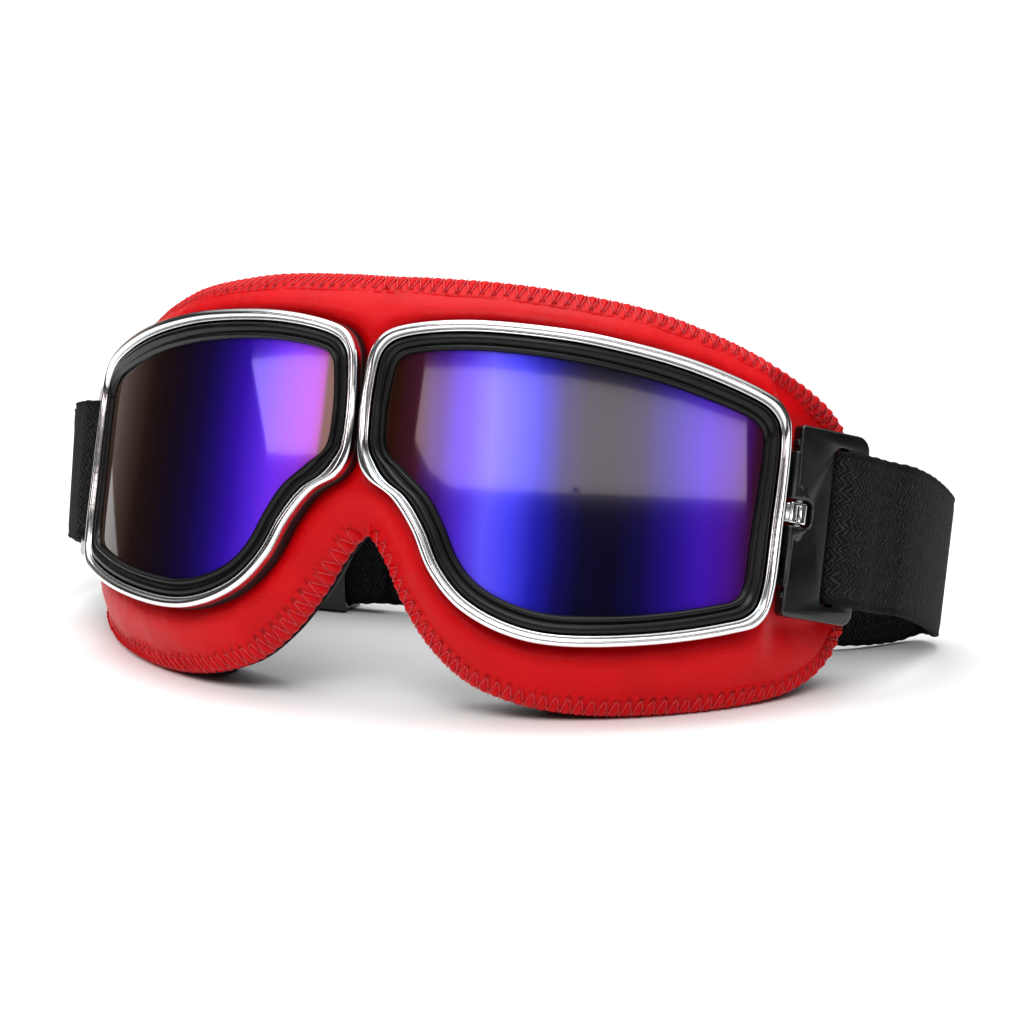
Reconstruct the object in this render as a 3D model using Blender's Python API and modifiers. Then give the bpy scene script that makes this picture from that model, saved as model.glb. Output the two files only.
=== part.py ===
"""Motorcycle goggles: padded leather mask, two chrome-rimmed lenses, hinged buckles, elastic strap.

Units are metres, Z is up, the wearer's right-hand lens (viewer's left) lies on -X.
The lens panels lie on an upright cylinder that leans back; a point on a panel is given by
s (length around the wrap from the nose), v (height up the lean) and n (height off the panel).
"""
import math

import bmesh
import bpy
import numpy as np
from mathutils import Matrix, Vector

MM = 0.001

# wrap of the lens panels
WRAP_RADIUS = 109.0
START_HEADING = math.radians(1.2)
LEAN_BACK = math.radians(15.3)
LEAN_IN = -0.038
NOSE_X = 1.5
PANEL_CENTRE = (46.0, 32.0)

# placing in the shared frame
FLOOR_LIFT = 17.0
FRONT_SHIFT = -55.68

# stack of the panel, measured off the front crest of the rim
RIM_CREST = 1.3
RIM_FOOT = -1.1
FLANGE_TOP = -1.4
FLANGE_LOW = -4.2
SKIN_THICK = 1.2
SKIN_SEAT = -4.5
SKIN_EDGE = -10.0
SKIN_CROWN = 2.0
TEMPLE_DIP = 3.2
FOAM_FRONT = -9.4
FOAM_BACK = -23.5
LENS_FRONT = -0.7
LENS_BACK = -2.1
STATIONS = 54

# hinge and buckle
PIN_S = 96.2
PIN_V = 24.0
PIN_N = -2.3
PIN_TILT = 0.075
PIN_R = 0.75
BORE_R = 1.1
BUCKLE_HEADING = math.radians(55.0)
BUCKLE_LOW = -21.4
BUCKLE_HIGH = 18.4
BUCKLE_NEAR = -2.2
BUCKLE_LEN = 16.2
BUCKLE_THICK = 3.4
SLOT_NEAR = 7.3
SLOT_FAR = 10.7
NOTCH_HALF = 2.7

# strap
STRAP_HALF_W = 16.0
STRAP_THICK = 2.0
STRAP_DROP = -1.5
BACK_RUN_Y = 86.5
BACK_RUN_Z = 17.7
LOOP_END = 21.0
LOOP_GAP = 1.6
SLIDE_X = 44.0
SLIDE_HALF_L = 7.0
SLIDE_WALL = 1.4
CORNER_TILT = 0.08
CORNER_ROW = 16

RIM_POINTS = [(1.0, 37.0), (0.7, 44.0), (1.3, 53.0), (2.8, 60.2), (8.0, 64.3), (22.5, 66.0),
              (40.8, 64.5), (55.1, 61.5), (70.1, 56.8), (85.1, 49.9), (90.4, 45.2), (91.7, 38.5),
              (90.8, 23.1), (89.5, 8.5), (86.7, 2.4), (80.0, 0.9), (62.9, 0.0), (44.6, 0.4),
              (33.3, 2.8), (23.7, 7.9), (17.3, 15.0), (13.3, 23.1), (8.6, 29.4), (3.2, 33.0)]
GLASS_POINTS = [(6.4, 45.8), (7.2, 53.6), (8.6, 57.6), (13.2, 59.2), (24.0, 59.8), (37.2, 58.7),
                (49.9, 56.4), (63.0, 52.7), (76.3, 47.5), (82.8, 44.3), (85.4, 41.2), (85.6, 36.5),
                (84.0, 22.6), (83.0, 11.8), (81.2, 8.0), (75.8, 7.1), (61.8, 6.3), (49.4, 6.4),
                (41.5, 7.1), (34.0, 9.3), (27.6, 12.8), (23.2, 17.6), (19.9, 24.3), (16.3, 30.2),
                (11.0, 35.1), (7.0, 38.9)]
TOP_ON_PLANE = (1.75, 75.7)
ARCH_ON_PLANE = (-0.5, 21.8)
PAD_POINTS = [TOP_ON_PLANE, (12.0, 75.7), (27.0, 75.0), (41.0, 73.3), (60.0, 69.5), (76.0, 64.0),
              (90.5, 57.5), (105.0, 49.3), (114.5, 41.5), (120.0, 31.0), (121.8, 18.0),
              (121.0, 4.0), (115.5, -7.0), (105.5, -12.6), (89.0, -14.4), (62.0, -14.2),
              (45.0, -12.7), (33.0, -10.0), (23.5, -6.0), (15.0, 1.0), (8.5, 9.5),
              (4.5, 16.5), ARCH_ON_PLANE]


def panel(s, v, n):
    """World position in metres of a point on the +X panel."""
    heading = START_HEADING + s / WRAP_RADIUS
    x = NOSE_X + WRAP_RADIUS * (math.sin(heading) - math.sin(START_HEADING))
    y = WRAP_RADIUS * (math.cos(START_HEADING) - math.cos(heading))
    x += v * LEAN_IN + n * math.sin(heading)
    y += v * math.sin(LEAN_BACK) - n * math.cos(heading) * math.cos(LEAN_BACK)
    z = v * math.cos(LEAN_BACK) + n * math.sin(LEAN_BACK)
    return Vector((x, y + FRONT_SHIFT, z + FLOOR_LIFT)) * MM


def panel_axes(s):
    """Unit axes along the wrap, up the rim's outer side, and off the panel."""
    origin = panel(s, PIN_V, 0.0)
    along = (panel(s + 0.5, PIN_V, 0.0) - origin).normalized()
    up = (panel(s + PIN_TILT, PIN_V + 1.0, 0.0) - origin).normalized()
    along = (along - up * along.dot(up)).normalized()
    return along, up, along.cross(up).normalized()


def smooth_path(points, closed, per_span=6):
    """Rounded curve through the given points (centripetal-free Catmull-Rom)."""
    pts = [np.array(p, float) for p in points]
    count = len(pts)
    spans = count if closed else count - 1
    out = []
    for i in range(spans):
        a = pts[(i - 1) % count] if closed or i > 0 else 2 * pts[0] - pts[1]
        b = pts[i]
        c = pts[(i + 1) % count]
        d = pts[(i + 2) % count] if closed or i + 2 < count else 2 * pts[-1] - pts[-2]
        for k in range(per_span):
            t = k / per_span
            out.append(0.5 * (2 * b + (c - a) * t + (2 * a - 5 * b + 4 * c - d) * t * t
                              + (3 * b - a - 3 * c + d) * t ** 3))
    if not closed:
        out.append(pts[-1])
    return np.array(out)


class Outline:
    """Closed outline read as a radius about the middle of the panel."""

    def __init__(self, path):
        self.path = path
        rel = path - np.array(PANEL_CENTRE)
        angle = np.unwrap(np.arctan2(rel[:, 1], rel[:, 0]))
        radius = np.hypot(rel[:, 0], rel[:, 1])
        if angle[-1] < angle[0]:
            angle, radius = angle[::-1], radius[::-1]
        turn = 2 * math.pi
        self.angle = np.concatenate([angle - turn, angle, angle + turn])
        self.radius = np.concatenate([radius, radius, radius])

    def at(self, angle):
        r = float(np.interp(angle, self.angle, self.radius))
        return np.array([PANEL_CENTRE[0] + r * math.cos(angle), PANEL_CENTRE[1] + r * math.sin(angle)])


RIM = Outline(smooth_path(RIM_POINTS, True))
RIM_LOOP = np.vstack([RIM.path, RIM.path[:1]])
GLASS = Outline(smooth_path(GLASS_POINTS, True))
FREE_EDGE = smooth_path(PAD_POINTS, False)
PLANE_LINE = np.linspace(ARCH_ON_PLANE, TOP_ON_PLANE, 12)[1:-1]
PAD = Outline(np.concatenate([FREE_EDGE, PLANE_LINE]))


def angle_of(point):
    return math.atan2(point[1] - PANEL_CENTRE[1], point[0] - PANEL_CENTRE[0])


TOP_ANGLE = angle_of(TOP_ON_PLANE)
ARCH_ANGLE = angle_of(ARCH_ON_PLANE) % (2 * math.pi)


def station_angles(count):
    """Angles evenly spread along the rim, plus the two ends of the mirror plane."""
    path = np.vstack([RIM.path, RIM.path[:1]])
    length = np.concatenate([[0.0], np.cumsum(np.hypot(*np.diff(path, axis=0).T))])
    at = np.linspace(0.0, length[-1], count, endpoint=False)
    xs = np.interp(at, length, path[:, 0])
    ys = np.interp(at, length, path[:, 1])
    angles = [angle_of((x, y)) % (2 * math.pi) for x, y in zip(xs, ys)]
    near = math.radians(1.5)
    ends = (TOP_ANGLE % (2 * math.pi), ARCH_ANGLE)
    angles = [a for a in angles if min(abs(a - e) for e in ends) > near]
    return sorted(angles + list(ends))


ANGLES = station_angles(STATIONS)


def on_plane(angle):
    """True where the outer edge of the half mask lies on the mirror plane."""
    return TOP_ANGLE % (2 * math.pi) - 1e-6 <= angle <= ARCH_ANGLE + 1e-6


def band(angle, b):
    """Flat point: b = 1 at the glass edge, 0 at the rim outline, -1 at the mask edge."""
    rim = RIM.at(angle)
    if b >= 0:
        return rim + (GLASS.at(angle) - rim) * b
    return rim + (PAD.at(angle) - rim) * -b


def distance_to(path, point):
    """Shortest distance from a flat point to a polyline."""
    start = path[:-1]
    run = path[1:] - start
    share = np.sum((point - start) * run, axis=1) / np.maximum(np.sum(run * run, axis=1), 1e-12)
    foot = start + run * np.clip(share, 0.0, 1.0)[:, None]
    return float(np.min(np.hypot(*(foot - point).T)))


def inside_rim(point):
    """True under the rim band."""
    rim = RIM.at(angle_of(point))
    centre = np.array(PANEL_CENTRE)
    return np.hypot(*(point - centre)) < np.hypot(*(rim - centre)) + 1e-6


def skin_height(point):
    """Height of the leather off the panel: pinched at the rim, crowned, low at the stitched edge."""
    if inside_rim(point):
        return SKIN_SEAT
    to_rim = distance_to(RIM_LOOP, point)
    to_edge = distance_to(FREE_EDGE, point)
    u = to_edge / (to_edge + to_rim + 1e-6)
    ease = u * u * (3 - 2 * u)
    crown = SKIN_CROWN * 4 * u * (1 - u) * min(1.0, (to_edge + to_rim) / 12.0)
    dip = TEMPLE_DIP * min(1.0, max(0.0, (point[0] - 89.5) / 4.0)) * min(1.0, u * 4.0)
    return SKIN_EDGE + (SKIN_SEAT - SKIN_EDGE) * ease + crown - dip


# ---------------------------------------------------------------- scene helpers

def clear_scene():
    for obj in list(bpy.data.objects):
        bpy.data.objects.remove(obj, do_unlink=True)
    for data in (bpy.data.meshes, bpy.data.curves, bpy.data.materials, bpy.data.collections):
        for item in list(data):
            data.remove(item)


def collection(name):
    coll = bpy.data.collections.new(name)
    bpy.context.scene.collection.children.link(coll)
    return coll


def material(name, colour, roughness, metallic=0.0):
    mat = bpy.data.materials.new(name)
    mat.use_nodes = True
    shader = mat.node_tree.nodes["Principled BSDF"]
    shader.inputs["Base Color"].default_value = (*colour, 1.0)
    shader.inputs["Roughness"].default_value = roughness
    shader.inputs["Metallic"].default_value = metallic
    mat.diffuse_color = (*colour, 1.0)
    return mat


FINISHES = {
    "leather": ((0.62, 0.012, 0.018), 0.42, 0.0),
    "foam": ((0.02, 0.02, 0.022), 0.9, 0.0),
    "lining": ((0.03, 0.03, 0.032), 0.85, 0.0),
    "chrome": ((0.85, 0.86, 0.88), 0.08, 1.0),
    "rubber": ((0.012, 0.012, 0.013), 0.35, 0.0),
    "shell": ((0.015, 0.015, 0.016), 0.4, 0.0),
    "lens": ((0.06, 0.02, 0.3), 0.06, 0.6),
    "buckle": ((0.01, 0.01, 0.011), 0.25, 0.0),
    "steel": ((0.6, 0.61, 0.63), 0.25, 1.0),
    "webbing": ((0.015, 0.015, 0.016), 0.8, 0.0),
}


def add_object(name, mesh, finish, origin=None):
    """Link a mesh as an object of its own, its origin moved to the given point."""
    obj = bpy.data.objects.new(name, mesh)
    colour, roughness, metallic = FINISHES[finish]
    mesh.materials.clear()
    mesh.materials.append(material(f"{finish}_{name}", colour, roughness, metallic))
    PARTS.objects.link(obj)
    if origin is not None:
        mesh.transform(Matrix.Translation(-origin))
        obj.location = origin
    obj["finish"] = finish
    return obj


def tidy_mesh(name, bm):
    bmesh.ops.remove_doubles(bm, verts=bm.verts, dist=1e-6)
    bmesh.ops.recalc_face_normals(bm, faces=bm.faces)
    mesh = bpy.data.meshes.new(name)
    bm.to_mesh(mesh)
    bm.free()
    mesh.shade_smooth()
    mesh.set_sharp_from_angle(angle=math.radians(35.0))
    return mesh


def mirrored(obj, name):
    """The same piece for the other side, as a mesh of its own."""
    mesh = obj.data.copy()
    mesh.transform(obj.matrix_world)
    mesh.transform(Matrix.Scale(-1.0, 4, Vector((1, 0, 0))))
    mesh.flip_normals()
    at = obj.matrix_world.translation
    return add_object(name, mesh, obj["finish"], Vector((-at.x, at.y, at.z)))


def boolean(obj, cutters, operation="DIFFERENCE"):
    """Run exact Booleans and keep the resulting mesh."""
    for cutter in cutters:
        cutter.hide_render = True
        cutter.display_type = "WIRE"
        mod = obj.modifiers.new("cut", "BOOLEAN")
        mod.operation = operation
        mod.solver = "EXACT"
        mod.object = cutter
    bpy.context.view_layer.update()
    graph = bpy.context.evaluated_depsgraph_get()
    mesh = bpy.data.meshes.new_from_object(obj.evaluated_get(graph), depsgraph=graph)
    obj.modifiers.clear()
    obj.data = mesh
    return obj


def box_mesh(name, low, high, frame):
    """Box from low to high corner (mm) in a local frame."""
    bm = bmesh.new()
    bmesh.ops.create_cube(bm, size=1.0)
    size = Vector(high) - Vector(low)
    mid = (Vector(high) + Vector(low)) / 2
    bm.transform(frame @ Matrix.Translation(mid * MM) @ Matrix.Diagonal((*(size * MM), 1.0)))
    return tidy_mesh(name, bm)


def rod_mesh(name, centre, radius, half, frame, sides=20):
    """Round rod along the local third axis."""
    bm = bmesh.new()
    bmesh.ops.create_cone(bm, cap_ends=True, cap_tris=False, segments=sides, radius1=radius * MM,
                          radius2=radius * MM, depth=2 * half * MM)
    bm.transform(frame @ Matrix.Translation(Vector(centre) * MM))
    return tidy_mesh(name, bm)


def cutter(name, mesh):
    obj = bpy.data.objects.new(name, mesh)
    CUTTERS.objects.link(obj)
    obj.hide_render = True
    obj.display_type = "WIRE"
    return obj


def plate_mesh(name, loops, thick_low, thick_high, frame):
    """Flat plate from closed outlines (outer first, then holes), thickness along local third axis."""
    curve = bpy.data.curves.new(name, "CURVE")
    curve.dimensions = "2D"
    curve.fill_mode = "BOTH"
    curve.extrude = (thick_high - thick_low) / 2 * MM
    for loop in loops:
        spline = curve.splines.new("POLY")
        spline.points.add(len(loop) - 1)
        for point, (x, y) in zip(spline.points, loop):
            point.co = (x * MM, y * MM, 0.0, 1.0)
        spline.use_cyclic_u = True
    obj = bpy.data.objects.new(name, curve)
    CUTTERS.objects.link(obj)
    bpy.context.view_layer.update()
    graph = bpy.context.evaluated_depsgraph_get()
    mesh = bpy.data.meshes.new_from_object(obj.evaluated_get(graph), depsgraph=graph)
    bpy.data.objects.remove(obj, do_unlink=True)
    bpy.data.curves.remove(curve)
    bm = bmesh.new()
    bm.from_mesh(mesh)
    bpy.data.meshes.remove(mesh)
    lift = Matrix.Translation((0, 0, (thick_high + thick_low) / 2 * MM))
    bm.transform(frame @ lift)
    return tidy_mesh(name, bm)


def rounded_rect(x0, x1, y0, y1, radius, steps=4):
    """Corner-rounded rectangle as a closed loop."""
    corners = [(x1 - radius, y1 - radius, 0.0), (x0 + radius, y1 - radius, 90.0),
               (x0 + radius, y0 + radius, 180.0), (x1 - radius, y0 + radius, 270.0)]
    out = []
    for cx, cy, start in corners:
        for k in range(steps + 1):
            a = math.radians(start + 90.0 * k / steps)
            out.append((cx + radius * math.cos(a), cy + radius * math.sin(a)))
    return out


# ---------------------------------------------------------------- panel pieces

def ring_mesh(name, section):
    """Closed band around the panel; section is a closed loop of (b, n)."""
    bm = bmesh.new()
    rows = []
    for angle in ANGLES:
        row = []
        for b, n in section:
            s, v = band(angle, b)
            row.append(bm.verts.new(panel(s, v, n)))
        rows.append(row)
    count = len(section)
    for i in range(len(rows)):
        a, c = rows[i], rows[(i + 1) % len(rows)]
        for k in range(count):
            m = (k + 1) % count
            bm.faces.new((a[k], a[m], c[m], c[k]))
    return tidy_mesh(name, bm)


def disc_mesh(name, edge_b, front, back, rings=5):
    """Curved sheet filling the inside of the band out to edge_b."""
    bm = bmesh.new()
    centre = np.array(PANEL_CENTRE)
    sides = []
    for n in (front, back):
        rows = []
        for k in range(1, rings + 1):
            share = (k / rings) ** 0.8
            row = []
            for angle in ANGLES[::2] if k < rings else ANGLES:
                s, v = centre + (band(angle, edge_b) - centre) * share
                row.append(bm.verts.new(panel(s, v, n)))
            rows.append(row)
        hub = bm.verts.new(panel(*centre, n))
        sides.append((rows, hub))
    for rows, hub in sides:
        inner = rows[0]
        for i in range(len(inner)):
            bm.faces.new((hub, inner[i], inner[(i + 1) % len(inner)]))
        for k in range(rings - 2):
            a, c = rows[k], rows[k + 1]
            for i in range(len(a)):
                j = (i + 1) % len(a)
                bm.faces.new((a[i], c[i], c[j], a[j]))
        stitch_rows(bm, rows[rings - 2], rows[rings - 1])
    top, low = sides[0][0][-1], sides[1][0][-1]
    for i in range(len(top)):
        j = (i + 1) % len(top)
        bm.faces.new((top[i], low[i], low[j], top[j]))
    return tidy_mesh(name, bm)


def stitch_rows(bm, coarse, fine):
    """Join a ring of every second station to a ring of all stations."""
    count, total = len(coarse), len(fine)
    for i in range(count):
        a, c = coarse[i], coarse[(i + 1) % count]
        k = 2 * i
        if k + 1 < total and (i < count - 1 or total % 2 == 0):
            bm.faces.new((a, fine[k], fine[k + 1]))
            bm.faces.new((a, fine[k + 1], c))
            bm.faces.new((c, fine[k + 1], fine[(k + 2) % total]))
        else:
            bm.faces.new((a, fine[k], fine[(k + 1) % total], c))


def half_mask_mesh(name, front_rows, back_rows, wall_rows, height):
    """Half of a two-window cushion layer, open at the mirror plane.

    Rows are (b, key) pairs from the window outwards; height(point, key) gives the height there.
    """
    bm = bmesh.new()
    loop = front_rows + wall_rows + back_rows[::-1]
    edge_start = len(front_rows) - 1
    edge_end = len(front_rows) + len(wall_rows)
    columns = []
    for angle in ANGLES:
        flat = on_plane(angle)
        column = []
        for k, (b, key) in enumerate(loop):
            meets = flat and edge_start <= k <= edge_end
            point = band(angle, -1.0 if meets else b)
            at = panel(*point, height(point, key, b))
            if meets:
                at.x = 0.0
            column.append(bm.verts.new(at))
        columns.append(column)
    for i in range(len(columns)):
        a, c = columns[i], columns[(i + 1) % len(columns)]
        open_here = on_plane(ANGLES[i]) and on_plane(ANGLES[(i + 1) % len(ANGLES)])
        for k in range(len(loop)):
            if open_here and edge_start <= k < edge_end:
                continue
            m = (k + 1) % len(loop)
            bm.faces.new((a[k], a[m], c[m], c[k]))
    return bm


def whole_mask(name, bm, finish):
    """Close a half layer with its mirrored other half."""
    mesh = tidy_mesh(name, bm)
    obj = add_object(name, mesh, finish)
    mod = obj.modifiers.new("other_half", "MIRROR")
    mod.use_axis = (True, False, False)
    mod.use_clip = True
    mod.merge_threshold = 0.00005
    return obj


def skin_layer(point, key, _):
    return skin_height(point) - (0.0 if key == "front" else SKIN_THICK)


def smooth_step(value):
    share = max(0.0, min(1.0, value))
    return share * share * (3.0 - 2.0 * share)


def arch_share(point):
    """One beside the nose arch, where the cushion thins towards its sewn edge; zero elsewhere."""
    return smooth_step((48.0 - point[0]) / 12.0) * smooth_step((36.0 - point[1]) / 8.0)


def foam_rear(point, b):
    """Height of the foam's rear surface."""
    share = max(0.0, min(1.0, (-b - 0.3) / 0.61))
    return FOAM_BACK + share * (1.5 + 7.5 * arch_share(point))


def foam_layer(point, key, b):
    """Heights of the foam: under the leather in front, level behind, rounded outer edge."""
    under = skin_height(point) - SKIN_THICK - 0.9
    if key == "front":
        return min(FOAM_FRONT, under)
    if key == "rear":
        return foam_rear(point, b)
    level, thinned = key
    return level + (thinned - level) * arch_share(point)


def lining_layer(point, key, b):
    return foam_rear(point, b) - 0.4 - (0.0 if key == "front" else 1.2)


def build_mask():
    skin_b = [0.12, -0.03, -0.15, -0.35, -0.6, -0.82, -1.0]
    skin = half_mask_mesh("mask_skin", [(b, "front") for b in skin_b], [(b, "back") for b in skin_b],
                          [], skin_layer)
    whole_mask("mask_skin", skin, "leather")
    front = [(b, "front") for b in (0.62, -0.15, -0.35, -0.6, -0.82, -0.94)]
    wall = [(-0.97, (-14.5, -12.4)), (-0.97, (-18.5, -13.3))]
    back = [(b, "rear") for b in (0.62, -0.3, -0.6, -0.91)]
    foam = half_mask_mesh("face_foam", front, back, wall, foam_layer)
    flatten_feet(foam)
    whole_mask("face_foam", foam, "foam")
    rows = [0.6, -0.1, -0.3, -0.6]
    lining = half_mask_mesh("lining", [(b, "front") for b in rows], [(b, "back") for b in rows],
                            [], lining_layer)
    return lining


def flatten_feet(bm):
    """Press the two lower lobes flat where they carry the mask."""
    for vert in bm.verts:
        vert.co.z = max(vert.co.z, 0.0)


def build_panel_side():
    """Rim, gasket, lens and shell of the +X eye."""
    shoulder = RIM_CREST - 0.8
    rim = [(0.0, RIM_FOOT), (0.0, shoulder), (0.08, RIM_CREST), (0.27, RIM_CREST), (0.36, shoulder),
           (0.36, RIM_FOOT)]
    gasket = [(0.41, -2.9), (0.41, 0.0), (0.5, 0.5), (0.8, 0.5), (1.0, 0.0), (1.0, -0.4), (0.84, -0.4),
              (0.84, -2.9)]
    shell = [(0.17, -6.3), (0.17, FLANGE_LOW), (0.0, FLANGE_LOW), (0.0, FLANGE_TOP), (0.37, FLANGE_TOP),
             (0.37, -3.2), (0.93, -3.2), (0.93, -12.5), (0.74, -12.5), (0.74, -6.3)]
    parts = [add_object("chrome_rim_left", ring_mesh("chrome_rim_left", rim), "chrome"),
             add_object("gasket_left", ring_mesh("gasket_left", gasket), "rubber"),
             add_object("lens_left", disc_mesh("lens_left", 0.88, LENS_FRONT, LENS_BACK), "lens"),
             add_object("frame_shell_left", ring_mesh("frame_shell_left", shell), "shell")]
    return parts


# ---------------------------------------------------------------- hinge and buckle

def pin_frame():
    """Local frame on the hinge pin: first axis along the buckle, third axis up the pin."""
    origin = panel(PIN_S, PIN_V, PIN_N)
    _, up, _ = panel_axes(PIN_S)
    along = Vector((math.cos(BUCKLE_HEADING), math.sin(BUCKLE_HEADING), 0.0))
    along = (along - up * along.dot(up)).normalized()
    out = along.cross(up).normalized()
    frame = Matrix((along, out, up)).transposed().to_4x4()
    frame.translation = origin
    return frame


FLAT_TO_SIDE = Matrix(((1, 0, 0, 0), (0, 0, 1, 0), (0, 1, 0, 0), (0, 0, 0, 1)))


def build_hinge_side():
    """Knuckle on the rim, pin, buckle and the strap loop sewn round its bar."""
    frame = pin_frame()
    origin = frame.translation.copy()
    along_rim, up, off = panel_axes(PIN_S)
    lug_frame = Matrix((along_rim, off, up)).transposed().to_4x4()
    lug_frame.translation = origin
    lug = add_object("rim_knuckle_left", box_mesh("rim_knuckle_left", (-4.4, -1.2, -2.2),
                     (-0.4, 1.2, 2.2), lug_frame), "chrome", origin)
    barrel = cutter("barrel_add", rod_mesh("barrel_add", (0, 0, 0), 2.1, 2.2, frame))
    hole = cutter("barrel_hole", rod_mesh("barrel_hole", (0, 0, 0), BORE_R, 6.0, frame))
    boolean(lug, [barrel], "UNION")
    boolean(lug, [hole])
    pin = add_object("hinge_pin_left", rod_mesh("hinge_pin_left", (0, 0, 0), PIN_R, 11.0, frame, 16),
                     "steel", origin)
    outer = rounded_rect(BUCKLE_NEAR, BUCKLE_LEN, BUCKLE_LOW, BUCKLE_HIGH, 2.1)
    slot = rounded_rect(SLOT_NEAR, SLOT_FAR, STRAP_DROP - STRAP_HALF_W - 0.7,
                        STRAP_DROP + STRAP_HALF_W + 0.7, 1.0, 3)
    half = BUCKLE_THICK / 2
    buckle = add_object("buckle_left", plate_mesh("buckle_left", [outer, slot], -half, half,
                        frame @ FLAT_TO_SIDE), "buckle")
    notch = cutter("notch", box_mesh("notch", (-4.0, -4.0, -NOTCH_HALF), (2.9, 4.0, NOTCH_HALF), frame))
    bore = cutter("pin_bore", rod_mesh("pin_bore", (0, 0, 0), BORE_R, 11.6, frame))
    relief = cutter("relief", box_mesh("relief", (-4.0, 1.0, -23.0), (-1.5, 4.0, 23.0), frame))
    boolean(buckle, [notch, bore, relief])
    buckle.data.transform(Matrix.Translation(-origin))
    buckle.location = origin
    ring_out = rounded_rect(SLOT_NEAR + 0.9, LOOP_END, -3.9, 3.9, 2.6)
    ring_in = rounded_rect(SLOT_NEAR + 2.7, LOOP_END - 1.8, -2.1, 2.1, 1.2, 3)
    loop = add_object("strap_loop_left", plate_mesh("strap_loop_left", [ring_out, ring_in],
                      STRAP_DROP - STRAP_HALF_W, STRAP_DROP + STRAP_HALF_W, frame), "webbing", origin)
    return [lug, pin, buckle, loop]


# ---------------------------------------------------------------- strap

def strap_path():
    """Centre points (mm) of half the band: from the buckle loop round the corner to the middle."""
    frame = pin_frame()
    start = frame @ Vector(((LOOP_END + LOOP_GAP) * MM, 0.0, STRAP_DROP * MM)) / MM
    ahead = frame @ Vector(((LOOP_END + LOOP_GAP + 6.0) * MM, 0.0, STRAP_DROP * MM)) / MM
    back = FRONT_SHIFT + BACK_RUN_Y
    points = [tuple(start), (ahead.x + 0.3, ahead.y, ahead.z + 0.1), (101.8, back - 6.0, 26.8),
              (102.4, back + 7.0, 21.2), (100.9, back + 15.5, 18.0), (97.0, back + 19.3, 16.8),
              (92.6, back + 15.6, 16.3), (86.0, back + 8.6, 16.5), (77.0, back + 2.2, 17.2),
              (66.0, back, BACK_RUN_Z), (45.0, back, BACK_RUN_Z), (22.0, back, BACK_RUN_Z),
              (0.0, back, BACK_RUN_Z)]
    return points


def band_mesh(name, path, ups, half_width, thickness, close_start=True, close_end=True):
    """Ribbon with a rectangular section carried along a path."""
    bm = bmesh.new()
    rows = []
    for i, at in enumerate(path):
        before, after = path[max(i - 1, 0)], path[min(i + 1, len(path) - 1)]
        side = (after - before).cross(ups[i]).normalized() * (thickness / 2 * MM)
        lift = ups[i] * (half_width * MM)
        rows.append([bm.verts.new(at + lift + side), bm.verts.new(at + lift - side),
                     bm.verts.new(at - lift - side), bm.verts.new(at - lift + side)])
    for a, c in zip(rows, rows[1:]):
        for k in range(4):
            m = (k + 1) % 4
            bm.faces.new((a[k], a[m], c[m], c[k]))
    if close_start:
        bm.faces.new(rows[0])
    if close_end:
        bm.faces.new(rows[-1])
    return bm


def build_strap():
    """Back band as one mirrored ribbon, with its folded tails and two adjusters."""
    raw = smooth_path(strap_path(), False, 4)
    path = [Vector(p) * MM for p in raw]
    frame = pin_frame()
    lean = frame.col[2].to_3d()
    corner = Vector((CORNER_TILT, 0.03, 1.0)).normalized()
    upright = Vector((0, 0, 1))
    ups = []
    for i in range(len(path)):
        if i < CORNER_ROW:
            share = i / CORNER_ROW
            ups.append(lean.lerp(corner, share * share * (3 - 2 * share)).normalized())
        else:
            share = min(1.0, (i - CORNER_ROW) / 12.0)
            ups.append(corner.lerp(upright, share * share * (3 - 2 * share)).normalized())
    path[-1].x = 0.0
    bm = band_mesh("strap_band", path, ups, STRAP_HALF_W, STRAP_THICK, close_end=False)
    for vert in bm.verts:
        if abs(vert.co.x) < 1e-5:
            vert.co.x = 0.0
    whole_mask("strap_band", bm, "webbing")
    back = FRONT_SHIFT + BACK_RUN_Y
    inner = back - STRAP_THICK - 0.5
    tail = box_mesh("strap_tail_left", (28.0, inner - 0.9, BACK_RUN_Z - STRAP_HALF_W),
                    (64.0, inner + 0.9, BACK_RUN_Z + STRAP_HALF_W), Matrix.Identity(4))
    tail_obj = add_object("strap_tail_left", tail, "webbing", Vector((46.0, inner, BACK_RUN_Z)) * MM)
    return [tail_obj, build_slide(back)]


def build_slide(back):
    """Three-bar adjuster: a flat sleeve round both layers with two windows in its outer face."""
    mid = Vector((SLIDE_X, back - 1.2, BACK_RUN_Z)) * MM
    at = Matrix.Translation(mid)
    height = BACK_RUN_Z
    body = add_object("strap_slide_left", box_mesh("strap_slide_left", (-SLIDE_HALF_L, -4.7, -height),
                      (SLIDE_HALF_L, 4.7, height), at), "buckle")
    inside = height - SLIDE_WALL
    tunnel = cutter("slide_tunnel", box_mesh("slide_tunnel", (-20, -3.2, -inside), (20, 3.2, inside), at))
    near = cutter("slide_near", box_mesh("slide_near", (-5.2, 1.0, -14.0), (-1.2, 9.0, 14.0), at))
    far = cutter("slide_far", box_mesh("slide_far", (1.2, 1.0, -14.0), (5.2, 9.0, 14.0), at))
    boolean(body, [tunnel, near, far])
    body.data.transform(Matrix.Translation(-mid))
    body.location = mid
    return body


# ---------------------------------------------------------------- nose bridge

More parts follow.
